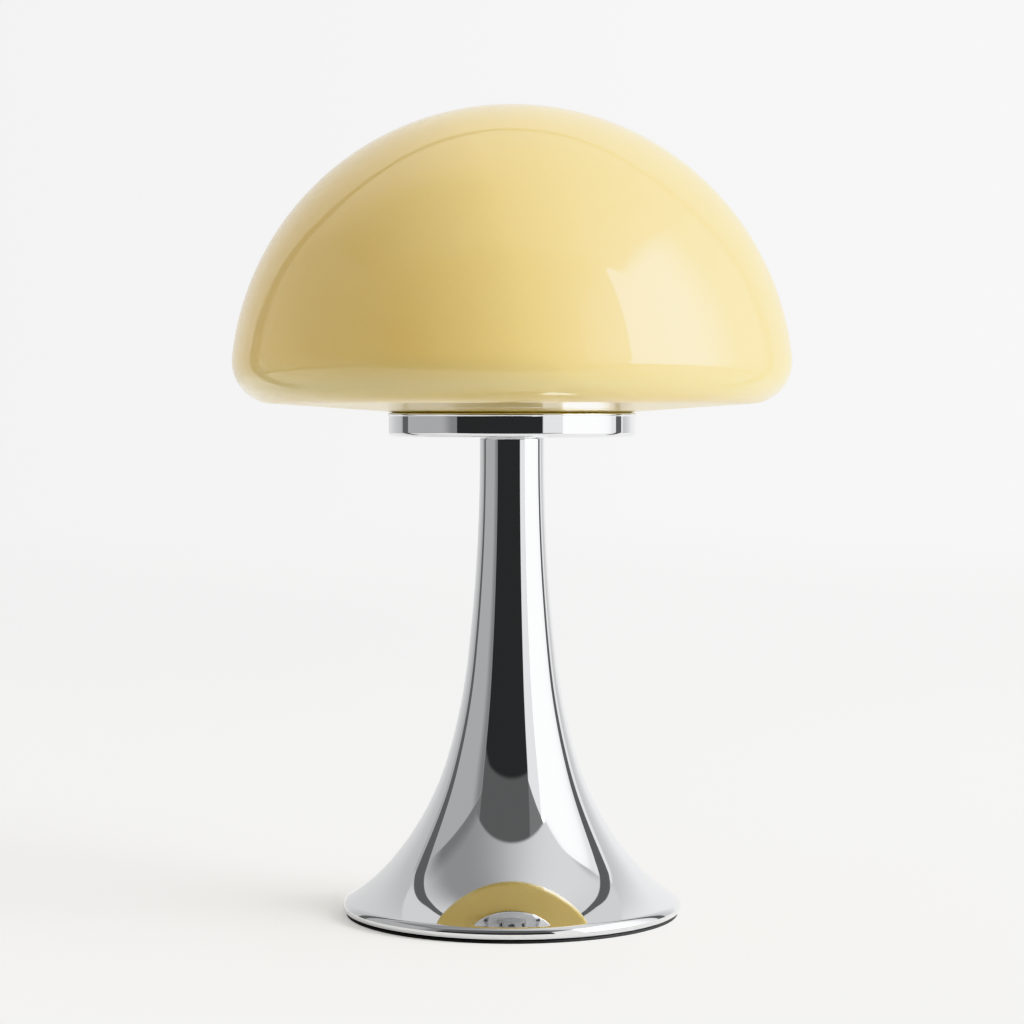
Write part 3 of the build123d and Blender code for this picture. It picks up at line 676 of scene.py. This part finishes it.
# the other finishes: two shades, metal share, roughness from and to, noise scale along x, y and
# z, depth of the bump in millimetres
finishValues = {
    "black_rubber": (
        (0.012, 0.012, 0.012), (0.022, 0.022, 0.021), 0.0, (0.55, 0.75), (90, 90, 90), 0.05
    ),
    "silicone": (
        (0.70, 0.70, 0.67), (0.78, 0.78, 0.75), 0.0, (0.35, 0.50), (60, 60, 60), 0.02
    ),
    "zinc_plate": (
        (0.52, 0.53, 0.56), (0.66, 0.66, 0.66), 1.0, (0.22, 0.42), (160, 160, 160), 0.01
    ),
    "cast_iron": (
        (0.035, 0.035, 0.04), (0.09, 0.09, 0.095), 0.2, (0.55, 0.80), (220, 220, 220), 0.25
    ),
    "brass": (
        (0.66, 0.49, 0.21), (0.80, 0.62, 0.30), 1.0, (0.18, 0.36), (120, 120, 120), 0.01
    ),
    "black_plastic": (
        (0.014, 0.014, 0.015), (0.024, 0.024, 0.025), 0.0, (0.30, 0.46), (140, 140, 140), 0.03
    ),
    "white_plastic": (
        (0.80, 0.80, 0.78), (0.84, 0.84, 0.83), 0.0, (0.28, 0.40), (70, 70, 70), 0.01
    ),
    "ceramic": (
        (0.74, 0.71, 0.64), (0.82, 0.80, 0.74), 0.0, (0.45, 0.65), (150, 150, 150), 0.05
    ),
    "nickel": (
        (0.62, 0.60, 0.56), (0.74, 0.72, 0.68), 1.0, (0.14, 0.30), (20, 20, 200), 0.01
    ),
    "solder": (
        (0.42, 0.42, 0.43), (0.60, 0.60, 0.60), 1.0, (0.30, 0.55), (260, 260, 260), 0.08
    ),
    "black_glass": (
        (0.01, 0.01, 0.012), (0.02, 0.02, 0.022), 0.0, (0.06, 0.14), (90, 90, 90), 0.01
    ),
    "opal_globe": (
        (0.84, 0.84, 0.82), (0.88, 0.88, 0.86), 0.0, (0.34, 0.42), (40, 40, 40), 0.01
    ),
    "led_aluminium": (
        (0.70, 0.71, 0.72), (0.82, 0.82, 0.83), 0.6, (0.35, 0.50), (200, 30, 200), 0.01
    ),
    "led_phosphor": (
        (0.86, 0.70, 0.18), (0.92, 0.78, 0.26), 0.0, (0.35, 0.45), (300, 300, 300), 0.02
    ),
    "circuit_board": (
        (0.02, 0.13, 0.06), (0.05, 0.24, 0.11), 0.0, (0.28, 0.40), (240, 240, 60), 0.02
    ),
}


mixValues = {
    "detail": 4.0,
    "middle": 0.5,  # of the noise
    "colorBlur": 0.4,  # how much of the noise lies between the two shades
    "roughBlur": 0.5,
    "fineScale": 4.0,
    "fineDetail": 3.0,
}


def mixedFinish(name, finish, values):
    # colour = first shade + noise * (second - first); the same noise sets how rough the surface
    # is, and a finer one, fineScale times the scale, pushes it in and out by the bump's depth
    first, second, metal, rough, scale, depth = finish
    material, tree, shader = newMaterial(name, Metallic=metal)
    place = addNode(tree, "ShaderNodeTexCoord").outputs["Object"]
    grain = addNode(
        tree, "ShaderNodeMapping", {"Vector": place, "Scale": scale}, vector_type="POINT"
    ).outputs[0]
    drift = noiseLevel(tree, grain, 1.0, values["detail"])
    fine = noiseLevel(tree, grain, values["fineScale"], values["fineDetail"])
    share = easeStep(tree, drift, values["middle"], values["colorBlur"])
    color = blendColors(tree, share, (*first, 1.0), (*second, 1.0))
    tree.links.new(color, shader.inputs["Base Color"])
    haze = easeStep(tree, drift, values["middle"], values["roughBlur"], *rough)
    tree.links.new(haze, shader.inputs["Roughness"])
    bump = addNode(
        tree, "ShaderNodeBump", {"Height": fine, "Strength": 1.0, "Distance": depth * mm}
    ).outputs[0]
    tree.links.new(bump, shader.inputs["Normal"])
    return material


finishes = {"chrome": chromeFinish(chromeValues), "yellow_glass": opalFinish(opalValues)}
for slotName, finish in finishValues.items():
    finishes[slotName] = mixedFinish(slotName.replace("_", " "), finish, mixValues)

# every node of the frame takes the finish of its slot
for part in frame["record"]["subparts"]:
    mesh = nodes[part["node"]].data
    mesh.materials.clear()
    mesh.materials.append(finishes[part["material_slot"]])
    mesh.polygons.foreach_set("material_index", np.zeros(len(mesh.polygons), np.int32))
print("finishes mixed")

hangHoop(hoopValues)
print("studio lit")

stemValues = {
    "neckRadius": 17.4,
    "flareArcs": ((931.0, 6.9), (307.0, 9.95), (151.0, 24.1), (101.0, 17.05)),  # radius, turn
    "crownRadius": 5.8,
    "crownTurn": 38.0,
    "edgeRadius": 3.1,
    "wall": 1.2,
    "topWeb": 2.4,
    "topRounding": 1.5,
    "holeRadius": 5.3,
    "outsideStep": 1.2,
    "insideStep": 6.0,
    "topStep": 0.15,
    "rimStep": 0.2,
    "webStep": 0.3,
    "around": 256,
}


def stemOutline(values):
    # flat top, upright neck, tangent arcs that lean further and further out, two more that roll the
    # edge under; the inside runs up again along the same arcs with a wall added to each radius
    low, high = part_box("stem_shell")
    top, foot = high.z / mm, low.z / mm
    neck, wall = values["neckRadius"], values["wall"]
    flareLean = sum(turn for _, turn in values["flareArcs"])
    edgeLean = flareLean - values["crownTurn"]
    rim = (
        (values["crownRadius"], -values["crownTurn"]),
        (values["edgeRadius"], -90.0 - edgeLean),
    )
    # the flare starts as high above the foot as its arcs reach down
    _, end = leaningRun((neck, 0.0), 0.0, values["flareArcs"] + rim, values["outsideStep"])
    flareStart = foot - end[1]
    cap = roundedRun(
        [(values["holeRadius"], top), (neck, top), (neck, flareStart)],
        [values["topRounding"]],
        values["outsideStep"],
        values["topStep"],
    )
    skirt, rimEnd = leaningRun((neck, flareStart), 0.0, values["flareArcs"], values["outsideStep"])
    roll, rollEnd = leaningRun(rimEnd, flareLean, rim, values["rimStep"])
    innerArcs = tuple((radius + wall, turn) for radius, turn in values["flareArcs"])
    inside, innerEnd = leaningRun((neck - wall, flareStart), 0.0, innerArcs, values["insideStep"])
    under = straightRun(rollEnd, (innerEnd[0], foot), values["insideStep"])
    up = straightRun((innerEnd[0], foot), innerEnd, values["insideStep"])
    webFoot = top - values["topWeb"]
    inside = np.concatenate([[innerEnd], inside[::-1]])
    hole = values["holeRadius"]
    topInside = roundedRun(
        [(neck - wall, flareStart), (neck - wall, webFoot), (hole, webFoot), (hole, top)],
        [0.0, 0.0],
        values["insideStep"],
        values["webStep"],
    )
    return np.concatenate([cap, skirt, roll, under, up, inside[:-1], topInside])


stem = turnedPiece("stemTrumpet", stemOutline(stemValues), stemValues["around"])
addPiece(stem, "lamp_base", "chrome", "stem_shell")
print("stem turned")


galleryValues = {
    "wall": 1.5,
    "holeRadius": 5.3,
    "footRounding": 2.8,
    "beadRadius": 1.1,
    "beadStandOut": 0.4,  # how far the rolled bead stands out of the wall
    "cornerRounding": 0.5,
    "lipRounding": 0.12,
    "step": 1.5,
    "roundStep": 0.1,
    "beadStep": 0.12,
    "around": 256,
}


def galleryOutline(values):
    # a flat dish with an upright wall: the rolled bead on its edge is an arc from the top round to
    # where its circle meets the outside of the wall
    low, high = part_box("gallery")
    foot, top, radius = low.z / mm, high.z / mm, high.x / mm
    inner, floorTop, hole = radius - values["wall"], foot + values["wall"], values["holeRadius"]
    bead, wall = values["beadRadius"], radius - values["beadStandOut"]
    beadCentre = (radius - bead, top - bead)
    meet = -math.degrees(math.acos((wall - beadCentre[0]) / bead))
    beadEnd = (wall, beadCentre[1] + bead * math.sin(math.radians(meet)))
    dish = roundedRun(
        [(hole, floorTop), (inner, floorTop), (inner, top), (beadCentre[0], top)],
        [values["cornerRounding"], values["lipRounding"]],
        values["step"],
        values["roundStep"],
    )
    roll = arcRun(beadCentre, bead, 90.0, meet, values["beadStep"])
    outside = roundedRun(
        [beadEnd, (wall, foot), (hole, foot), (hole, floorTop)],
        [values["footRounding"], 0.0],
        values["step"],
        values["roundStep"],
    )
    return np.concatenate([dish, roll, outside])


gallery = turnedPiece("galleryDish", galleryOutline(galleryValues), galleryValues["around"])
addPiece(gallery, "lamp_base", "chrome", "gallery")
print("gallery turned")


shadeValues = {
    "domeRadius": 150.0,
    "domeRise": 13.3,  # the dome's centre above the shoulder
    "rimRadius": 22.4,
    "slope": 3.94,  # degrees, of the underside
    "wall": 3.5,
    "gap": 0.3,  # shoulder above the gallery
    "neckOuter": 63.5,
    "slopeStart": 65.0,
    "neckFillet": 1.2,
    "neckRounding": 1.2,
    "step": 2.0,
    "rimStep": 1.0,
    "innerStep": 3.0,
    "neckStep": 0.25,
    "around": 256,
}


def shadeOutline(values):
    # two tangent circles, dome and rim, then a straight slope that touches the rim, and the upright
    # neck under it; the inside is the same outline one wall further in
    dome, rim, wall = values["domeRadius"], values["rimRadius"], values["wall"]
    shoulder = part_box("gallery")[1].z / mm + values["gap"]
    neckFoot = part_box("shade_glass")[0].z / mm
    centre = shoulder + values["domeRise"]
    slope = math.tan(math.radians(values["slope"]))
    stretch = 1.0 / math.cos(math.radians(values["slope"]))

    # the rim's centre lies rim above the slope and dome - rim from the dome's centre
    lift = rim * stretch + shoulder - values["slopeStart"] * slope - centre
    factor = 1.0 + slope**2
    across = (math.sqrt((dome - rim) ** 2 * factor - lift**2) - lift * slope) / factor
    rimCentre = (across, centre + lift + across * slope)
    join = math.degrees(math.atan2(rimCentre[1] - centre, across))
    start = values["slope"] - 90.0

    def underside(radius, thickness):
        # height of the slope at a radius, or of the face that lies a thickness inside it
        return shoulder + (radius - values["slopeStart"]) * slope + thickness * stretch

    neckOuter = values["neckOuter"]
    neckInner = neckOuter - wall
    outerDome = arcRun((0.0, centre), dome, 90.0, join, values["step"])
    outerDome[0, 0] = 0.0  # the pole is exactly on the axis
    outerRim = arcRun(rimCentre, rim, join, start, values["rimStep"])
    outerEnd = pointAt(rimCentre, rim, start)
    innerEnd = pointAt(rimCentre, rim - wall, start)
    fillet, soft = values["neckFillet"], values["neckRounding"]
    neck = roundedRun(
        [
            tuple(outerEnd),
            (neckOuter, underside(neckOuter, 0.0)),
            (neckOuter, neckFoot),
            (neckInner, neckFoot),
            (neckInner, underside(neckInner, wall)),
            tuple(innerEnd),
        ],
        [fillet, soft, soft, fillet + wall],
        values["step"],
        values["neckStep"],
    )
    innerRim = arcRun(rimCentre, rim - wall, start, join, values["step"])
    innerDome = arcRun((0.0, centre), dome - wall, join, 90.0, values["innerStep"])
    innerTop = [(0.0, centre + dome - wall)]
    return np.concatenate([outerDome, outerRim, neck, innerRim, innerDome, innerTop])


shade = turnedPiece("shadeGlass", shadeOutline(shadeValues), shadeValues["around"])
addPiece(shade, "shade", "yellow_glass", "shade_glass")
print("shade turned")


def ringOutline(nodeName, values):
    # a rectangle with four equal roundings, from the outer radius of its node inwards
    low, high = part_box(nodeName)
    outer, top, foot = high.x / mm, high.z / mm, low.z / mm
    inner = outer - values["width"]
    corners = [(inner, top), (outer, top), (outer, foot), (inner, foot)]
    ring = corners + corners[:2]
    return roundedRun(ring, [values["rounding"]] * 4, values["step"], values["roundStep"])[1:]


# rubber ring under the foot
padValues = {"width": 24.0, "rounding": 0.45, "step": 2.0, "roundStep": 0.12, "around": 256}

pad = turnedPiece("footRing", ringOutline("base_pad", padValues), padValues["around"])
addPiece(pad, "lamp_base", "black_rubber", "base_pad")

# silicone ring in the gallery
gasketValues = {"width": 5.6, "rounding": 0.6, "step": 1.5, "roundStep": 0.15, "around": 192}

gasketRing = ringOutline("gallery_gasket", gasketValues)
gasket = turnedPiece("galleryRing", gasketRing, gasketValues["around"])
addPiece(gasket, "lamp_base", "silicone", "gallery_gasket")
print("rings turned")

# bulb: opal globe, housing and screw cap
bulbValues = {
    "globeRadius": 30.0,
    "globeWall": 1.2,
    "rimDrop": 15.5,  # the globe's open edge below its centre
    "globeInnerStep": 1.8,
    "housingFoot": 13.6,
    "housingSkirt": 2.5,  # upright part of the housing
    "housingWall": 1.6,
    "housingRounding": 0.7,
    "housingInnerRounding": 0.3,
    "housingLean": 32.0,  # from upright, where the housing meets the globe
    "housingRows": 40,
    "housingInnerRows": 16,
    "seamDepth": 0.25,  # the fine groove between housing and globe
    "threadRoot": 12.1,
    "threadCrest": 13.1,
    "threadPitch": 3.629,
    "threadTurns": 4.0,
    "threadRows": 81,
    "capMetal": 0.6,
    "capRounding": 0.2,
    "capLip": 0.3,  # how far the turned-in foot lies inside the thread's root
    "capSharp": 50.0,
    "tipSphere": 20.0,
    "tipEdge": 0.6,
    "tipTopRounding": 0.15,
    "tipBand": 0.1,  # upright part under the edge
    "tipRows": 12,
    "tipAround": 64,
    "step": 0.9,
    "roundStep": 0.15,
    "fineStep": 0.1,
    "around": 128,
}


def globeOutline(values):
    # a sphere cut off under its centre, and the same one wall further in
    _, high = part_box("bulb_globe")
    radius, wall, drop = values["globeRadius"], values["globeWall"], values["rimDrop"]
    centre = (0.0, high.z / mm - radius)
    outerEnd = -math.degrees(math.asin(drop / radius))
    innerEnd = -math.degrees(math.asin(drop / (radius - wall)))
    outer = arcRun(centre, radius, 90.0, outerEnd, values["step"])
    outer[0, 0] = 0.0  # the pole is exactly on the axis
    edge = pointAt(centre, radius, outerEnd)
    inner = arcRun(centre, radius - wall, innerEnd, 90.0, values["globeInnerStep"])
    return np.concatenate([outer, [edge], inner, [(0.0, centre[1] + radius - wall)]])


globe = turnedPiece("bulbGlobe", globeOutline(bulbValues), bulbValues["around"])
addPiece(globe, "bulb", "opal_globe", "bulb_globe")


def smoothRun(start, startLean, end, endLean, count):
    # cubic Hermite curve: both ends leave at their lean from upright, as fast as the chord is long
    share = np.linspace(0.0, 1.0, count)[:, None]
    pull = math.dist(start, end)
    startLean, endLean = math.radians(startLean), math.radians(endLean)
    first = pull * np.array([math.sin(startLean), math.cos(startLean)])
    last = pull * np.array([math.sin(endLean), math.cos(endLean)])
    square, cube = share**2, share**3
    points = (2 * cube - 3 * square + 1) * np.array(start) + (cube - 2 * square + share) * first
    return points + (3 * square - 2 * cube) * np.array(end) + (cube - square) * last


def housingOutline(values):
    # an upright skirt that opens out along a Hermite curve to the globe's edge; the inside starts
    # and ends one wall further in, and a small step at the top leaves a groove under the globe
    low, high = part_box("bulb_housing")
    foot, top, radius = low.z / mm, high.z / mm, values["housingFoot"]
    wall, lean = values["housingWall"], values["housingLean"]
    skirt, inner = foot + values["housingSkirt"], radius - wall
    rim = math.sqrt(values["globeRadius"] ** 2 - values["rimDrop"] ** 2)
    seam = values["seamDepth"]
    outside = smoothRun((radius, skirt), 0.0, (rim, top - seam), lean, values["housingRows"])
    inside = smoothRun((inner, skirt), 0.0, (rim - wall, top), lean, values["housingInnerRows"])
    lip = [(rim - 2 * seam, top), (rim - 2 * seam, top - seam / 2)]
    edge = roundedRun(
        [(radius, skirt), (radius, foot), (inner, foot), (inner, skirt)],
        [values["housingRounding"], values["housingInnerRounding"]],
        values["step"],
        values["roundStep"],
    )
    return np.concatenate([inside, lip, outside[::-1], edge[1:]])


housing = turnedPiece("bulbHousing", housingOutline(bulbValues), bulbValues["around"])
addPiece(housing, "bulb", "white_plastic", "bulb_housing")


def screwCapPiece(values):
    # radius(u, z) = root + (crest - root) * fade * (1 - cos(2 pi (z - foot) / pitch - u)) / 2:
    # one wave round the cap climbs by a pitch, and fade takes it away over half a pitch at each end
    root, crest, pitch = values["threadRoot"], values["threadCrest"], values["threadPitch"]
    low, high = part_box("bulb_screw_cap")
    metal, rounding, fine = values["capMetal"], values["capRounding"], values["fineStep"]
    inside, foot, top = root - metal, low.z / mm + metal, high.z / mm
    threadTop = foot + values["threadTurns"] * pitch
    height = np.linspace(foot, threadTop, values["threadRows"])[:, None]
    turn = fullTurn(values["around"])[None, :]
    fade = np.clip(2.0 * (height - foot) / pitch, 0.0, 1.0)
    fade = fade * np.clip(2.0 * (threadTop - height) / pitch, 0.0, 1.0)
    wave = (1.0 - np.cos(2.0 * math.pi * (height - foot) / pitch - turn)) / 2.0
    thread = np.stack([root + (crest - root) * fade * wave, height + 0.0 * turn], axis=-1)

    # plain rows close the metal: skirt, upper edge, inner wall and the turned-in foot
    above = roundedRun(
        [(root, threadTop), (root, top), (inside, top), (inside, foot - metal)],
        [rounding, rounding],
        values["step"],
        fine,
    )
    lip = values["capLip"]
    turnedIn = [(inside, foot - metal), (root - lip, foot - metal), (root, foot)]
    below = roundedRun(turnedIn, [rounding], lip, fine)
    rows = np.concatenate([above[1:], below])[:, None, :] + np.zeros((1, values["around"], 1))
    rows = np.concatenate([thread, rows])
    points = spun(rows[:, :, 0], rows[:, :, 1], turn)
    piece = gridObject("bulbScrewCap", points * mm, True, True)
    tidyMesh(piece.data, values["capSharp"])
    return piece


addPiece(screwCapPiece(bulbValues), "bulb", "nickel", "bulb_screw_cap")


def tipOutline(values):
    # a flat soldered button: its face is the cap of a sphere, its edge is rounded
    low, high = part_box("bulb_tip")
    radius, foot, top = high.x / mm, low.z / mm, high.z / mm
    sphere, rise = values["tipSphere"], values["tipEdge"]
    sag = sphere - math.sqrt(sphere**2 - (radius - rise) ** 2)
    face = np.linspace(0.0, radius - rise, values["tipRows"])
    face = np.stack([face, foot + sphere - np.sqrt(sphere**2 - face**2)], axis=1)
    corner = foot + sag + values["tipBand"]
    edge = roundedRun(
        [(radius - rise, foot + sag), (radius, corner), (radius, top), (0.0, top)],
        [rise / 2, values["tipTopRounding"]],
        values["step"],
        values["fineStep"],
    )
    return np.concatenate([face[:-1], edge, [(0.0, top)]])[::-1]


tip = turnedPiece("bulbTip", tipOutline(bulbValues), bulbValues["tipAround"])
addPiece(tip, "bulb_contact", "solder", "bulb_tip")
print("bulb made")

# lampholder: the cap on the tube and the ribbed sleeve above it
holderValues = {
    "wall": 2.2,
    "bossHeight": 5.0,
    "coneHeight": 4.0,
    "bossRadius": 8.0,
    "boreRadius": 5.15,
    "ledgeDrop": 6.0,
    "ledgeWidth": 2.3,
    "rounding": 0.8,
    "rimRounding": 0.3,
    "innerRounding": 0.2,
    "bossRounding": 0.4,
    "lipRounding": 1.0,
    "stepRounding": 0.1,
    "ribs": 36,
    "ribDepth": 0.45,
    "ribMargin": 3.0,  # plain rows under and over the ribs
    "ribFade": 1.2,
    "ribRows": 40,
    "seamHeight": 0.6,  # the ribbed rows start this far over the cap's rim
    "insertGap": 3.0,  # the spigot's shoulder over the insert
    "lipHeight": 2.0,
    "lipInner": 14.1,
    "spigotOuter": 17.2,
    "spigotInner": 15.0,
    "wallTolerance": 0.01,  # points this close to the radius are on the outer wall
    "sharp": 40.0,
    "step": 1.5,
    "roundStep": 0.15,
    "around": 288,
    "capAround": 128,
}


def capOutline(values):
    # a stepped cup with rounded corners: boss, cone and wall outside, ledge and bore inside
    low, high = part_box("holder_cap")
    foot, rim, radius = low.z / mm, high.z / mm, high.x / mm
    boss, bore, wall = values["bossRadius"], values["boreRadius"], values["wall"]
    coneFoot = foot + values["bossHeight"]
    wallFoot = coneFoot + values["coneHeight"]
    inner, ledge = radius - wall, rim - values["ledgeDrop"]
    ledgeInner = inner - values["ledgeWidth"]
    ring = [
        (boss, foot),
        (boss, coneFoot),
        (radius, wallFoot),
        (radius, rim),
        (inner, rim),
        (inner, ledge),
        (ledgeInner, ledge),
        (ledgeInner, wallFoot + wall),
        (boss, coneFoot + wall),
        (bore, coneFoot + wall),
        (bore, foot),
    ]
    soft, edge, inside = values["rounding"], values["rimRounding"], values["innerRounding"]
    roundings = [values["bossRounding"], soft, 2.0 * soft, edge, edge]
    roundings += [inside, inside, soft, soft, inside, edge]
    ring = [ring[-1]] + ring + [ring[0]]
    return roundedRun(ring, roundings, values["step"], values["roundStep"])[1:]


def sleevePiece(values):
    # radius(u, z) = outline radius - depth * fade(z) * (1 - cos(ribs * u)) / 2: upright ribs that
    # fade out towards both ends, on the outer wall only
    low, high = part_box("holder_sleeve")
    foot, top, radius = low.z / mm, high.z / mm, high.x / mm
    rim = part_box("holder_cap")[1].z / mm
    spigot, inner = values["spigotOuter"], values["spigotInner"]
    lipFoot = top - values["lipHeight"]
    ribFoot, ribTop = rim + values["ribMargin"], lipFoot - values["ribMargin"]
    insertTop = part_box("holder_insert")[1].z / mm + values["insertGap"]
    seam, lip = rim + values["seamHeight"], values["lipInner"]
    height = np.linspace(seam, ribTop, values["ribRows"])[1:-1]
    outside = np.stack([np.full_like(height, radius), height], axis=1)
    corners = [
        (radius, ribTop),
        (radius, top),
        (lip, top),
        (lip, lipFoot),
        (spigot, lipFoot),
        (spigot, insertTop),
        (inner, insertTop),
        (inner, foot),
        (spigot, foot),
        (spigot, rim),
        (radius, rim),
        (radius, seam),
    ]
    edge, inside = values["rimRounding"], values["innerRounding"]
    roundings = [values["lipRounding"], values["bossRounding"], inside, edge, inside]
    roundings += [inside, inside, edge, values["stepRounding"], edge]
    over = roundedRun(corners, roundings, values["step"], values["roundStep"])
    outline = np.concatenate([over, [(radius, seam)], outside])
    turn = fullTurn(values["around"])
    level, reach = outline[:, 1:], values["ribFade"]
    fade = np.clip((level - ribFoot) / reach, 0.0, 1.0)
    fade = fade * np.clip((ribTop - level) / reach, 0.0, 1.0)
    fade = fade * (outline[:, :1] > radius - values["wallTolerance"])
    wave = 1.0 - np.cos(values["ribs"] * turn)
    across = outline[:, :1] - values["ribDepth"] * fade * wave / 2.0
    piece = gridObject("holderSleeve", spun(across, level, turn) * mm, True, True)
    tidyMesh(piece.data, values["sharp"])
    return piece


holderCap = turnedPiece("holderCap", capOutline(holderValues), holderValues["capAround"])
addPiece(holderCap, "lamp_base", "black_plastic", "holder_cap")
sleeve = sleevePiece(holderValues)
addPiece(sleeve, "lamp_base", "black_plastic", "holder_sleeve")
print("lampholder made")

# bush for the lead: a short sleeve that lies along y at the back of the foot
inletValues = {
    "boreRadius": 3.2,
    "mouthRounding": 1.1,
    "edgeRounding": 0.3,
    "holeRadius": 4.68,
    "holeStart": 60.0,
    "holeOvershoot": 10.0,
    "sharp": 40.0,
    "step": 0.8,
    "roundStep": 0.15,
    "around": 96,
}


def inletPiece(values):
    # a turned sleeve: its outline is a rectangle with rounded corners, the largest at the mouth
    low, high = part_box("cord_inlet")
    radius, bore = high.x / mm, values["boreRadius"]
    start, end, level = low.y / mm, high.y / mm, (low.z + high.z) / 2.0
    ring = [(radius, start), (radius, end), (bore, end), (bore, start)]
    edge = values["edgeRounding"]
    outline = roundedRun(
        [ring[-1]] + ring + [ring[0]],
        [edge, values["mouthRounding"], edge, edge],
        values["step"],
        values["roundStep"],
    )[1:]
    piece = turnedPiece("leadBush", outline, values["around"])
    # lays the upright sleeve along y at its height
    place = np.empty(len(piece.data.vertices) * 3, np.float32)
    piece.data.vertices.foreach_get("co", place)
    place = place.reshape(-1, 3)
    place = np.stack([place[:, 0], place[:, 2], level - place[:, 1]], axis=1)
    piece.data.vertices.foreach_set("co", place.reshape(-1))
    piece.data.update()
    return piece


def cutInletHole(target, values):
    # a straight bore for the bush through the back of the foot, along y:
    # point (u, v) of the cutter is (r(v) cos u, y(v), level + r(v) sin u)
    low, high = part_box("cord_inlet")
    level, start = (low.z + high.z) / 2.0, values["holeStart"] * mm
    end = high.y + values["holeOvershoot"] * mm
    turn = fullTurn(values["around"])
    radius = np.array([0.0, values["holeRadius"], values["holeRadius"], 0.0])[:, None] * mm
    along = np.array([start, start, end, end])[:, None] + 0.0 * turn
    points = np.stack([radius * np.cos(turn), along, level + radius * np.sin(turn)], axis=-1)
    cutter = gridObject("holeCutter", points, False, True)
    tidyMesh(cutter.data, values["sharp"])
    cut = target.modifiers.new("inletHole", "BOOLEAN")
    cut.operation = "DIFFERENCE"
    cut.solver = "EXACT"
    cut.object = cutter
    bpy.context.view_layer.update()
    graph = bpy.context.evaluated_depsgraph_get()
    mesh = bpy.data.meshes.new_from_object(target.evaluated_get(graph))
    target.modifiers.clear()
    target.data = mesh
    tidyMesh(mesh, values["sharp"])
    bpy.data.objects.remove(cutter)


leadBush = inletPiece(inletValues)
addPiece(leadBush, "lamp_base", "black_rubber", "cord_inlet")
cutInletHole(stem, inletValues)
print("inlet made")
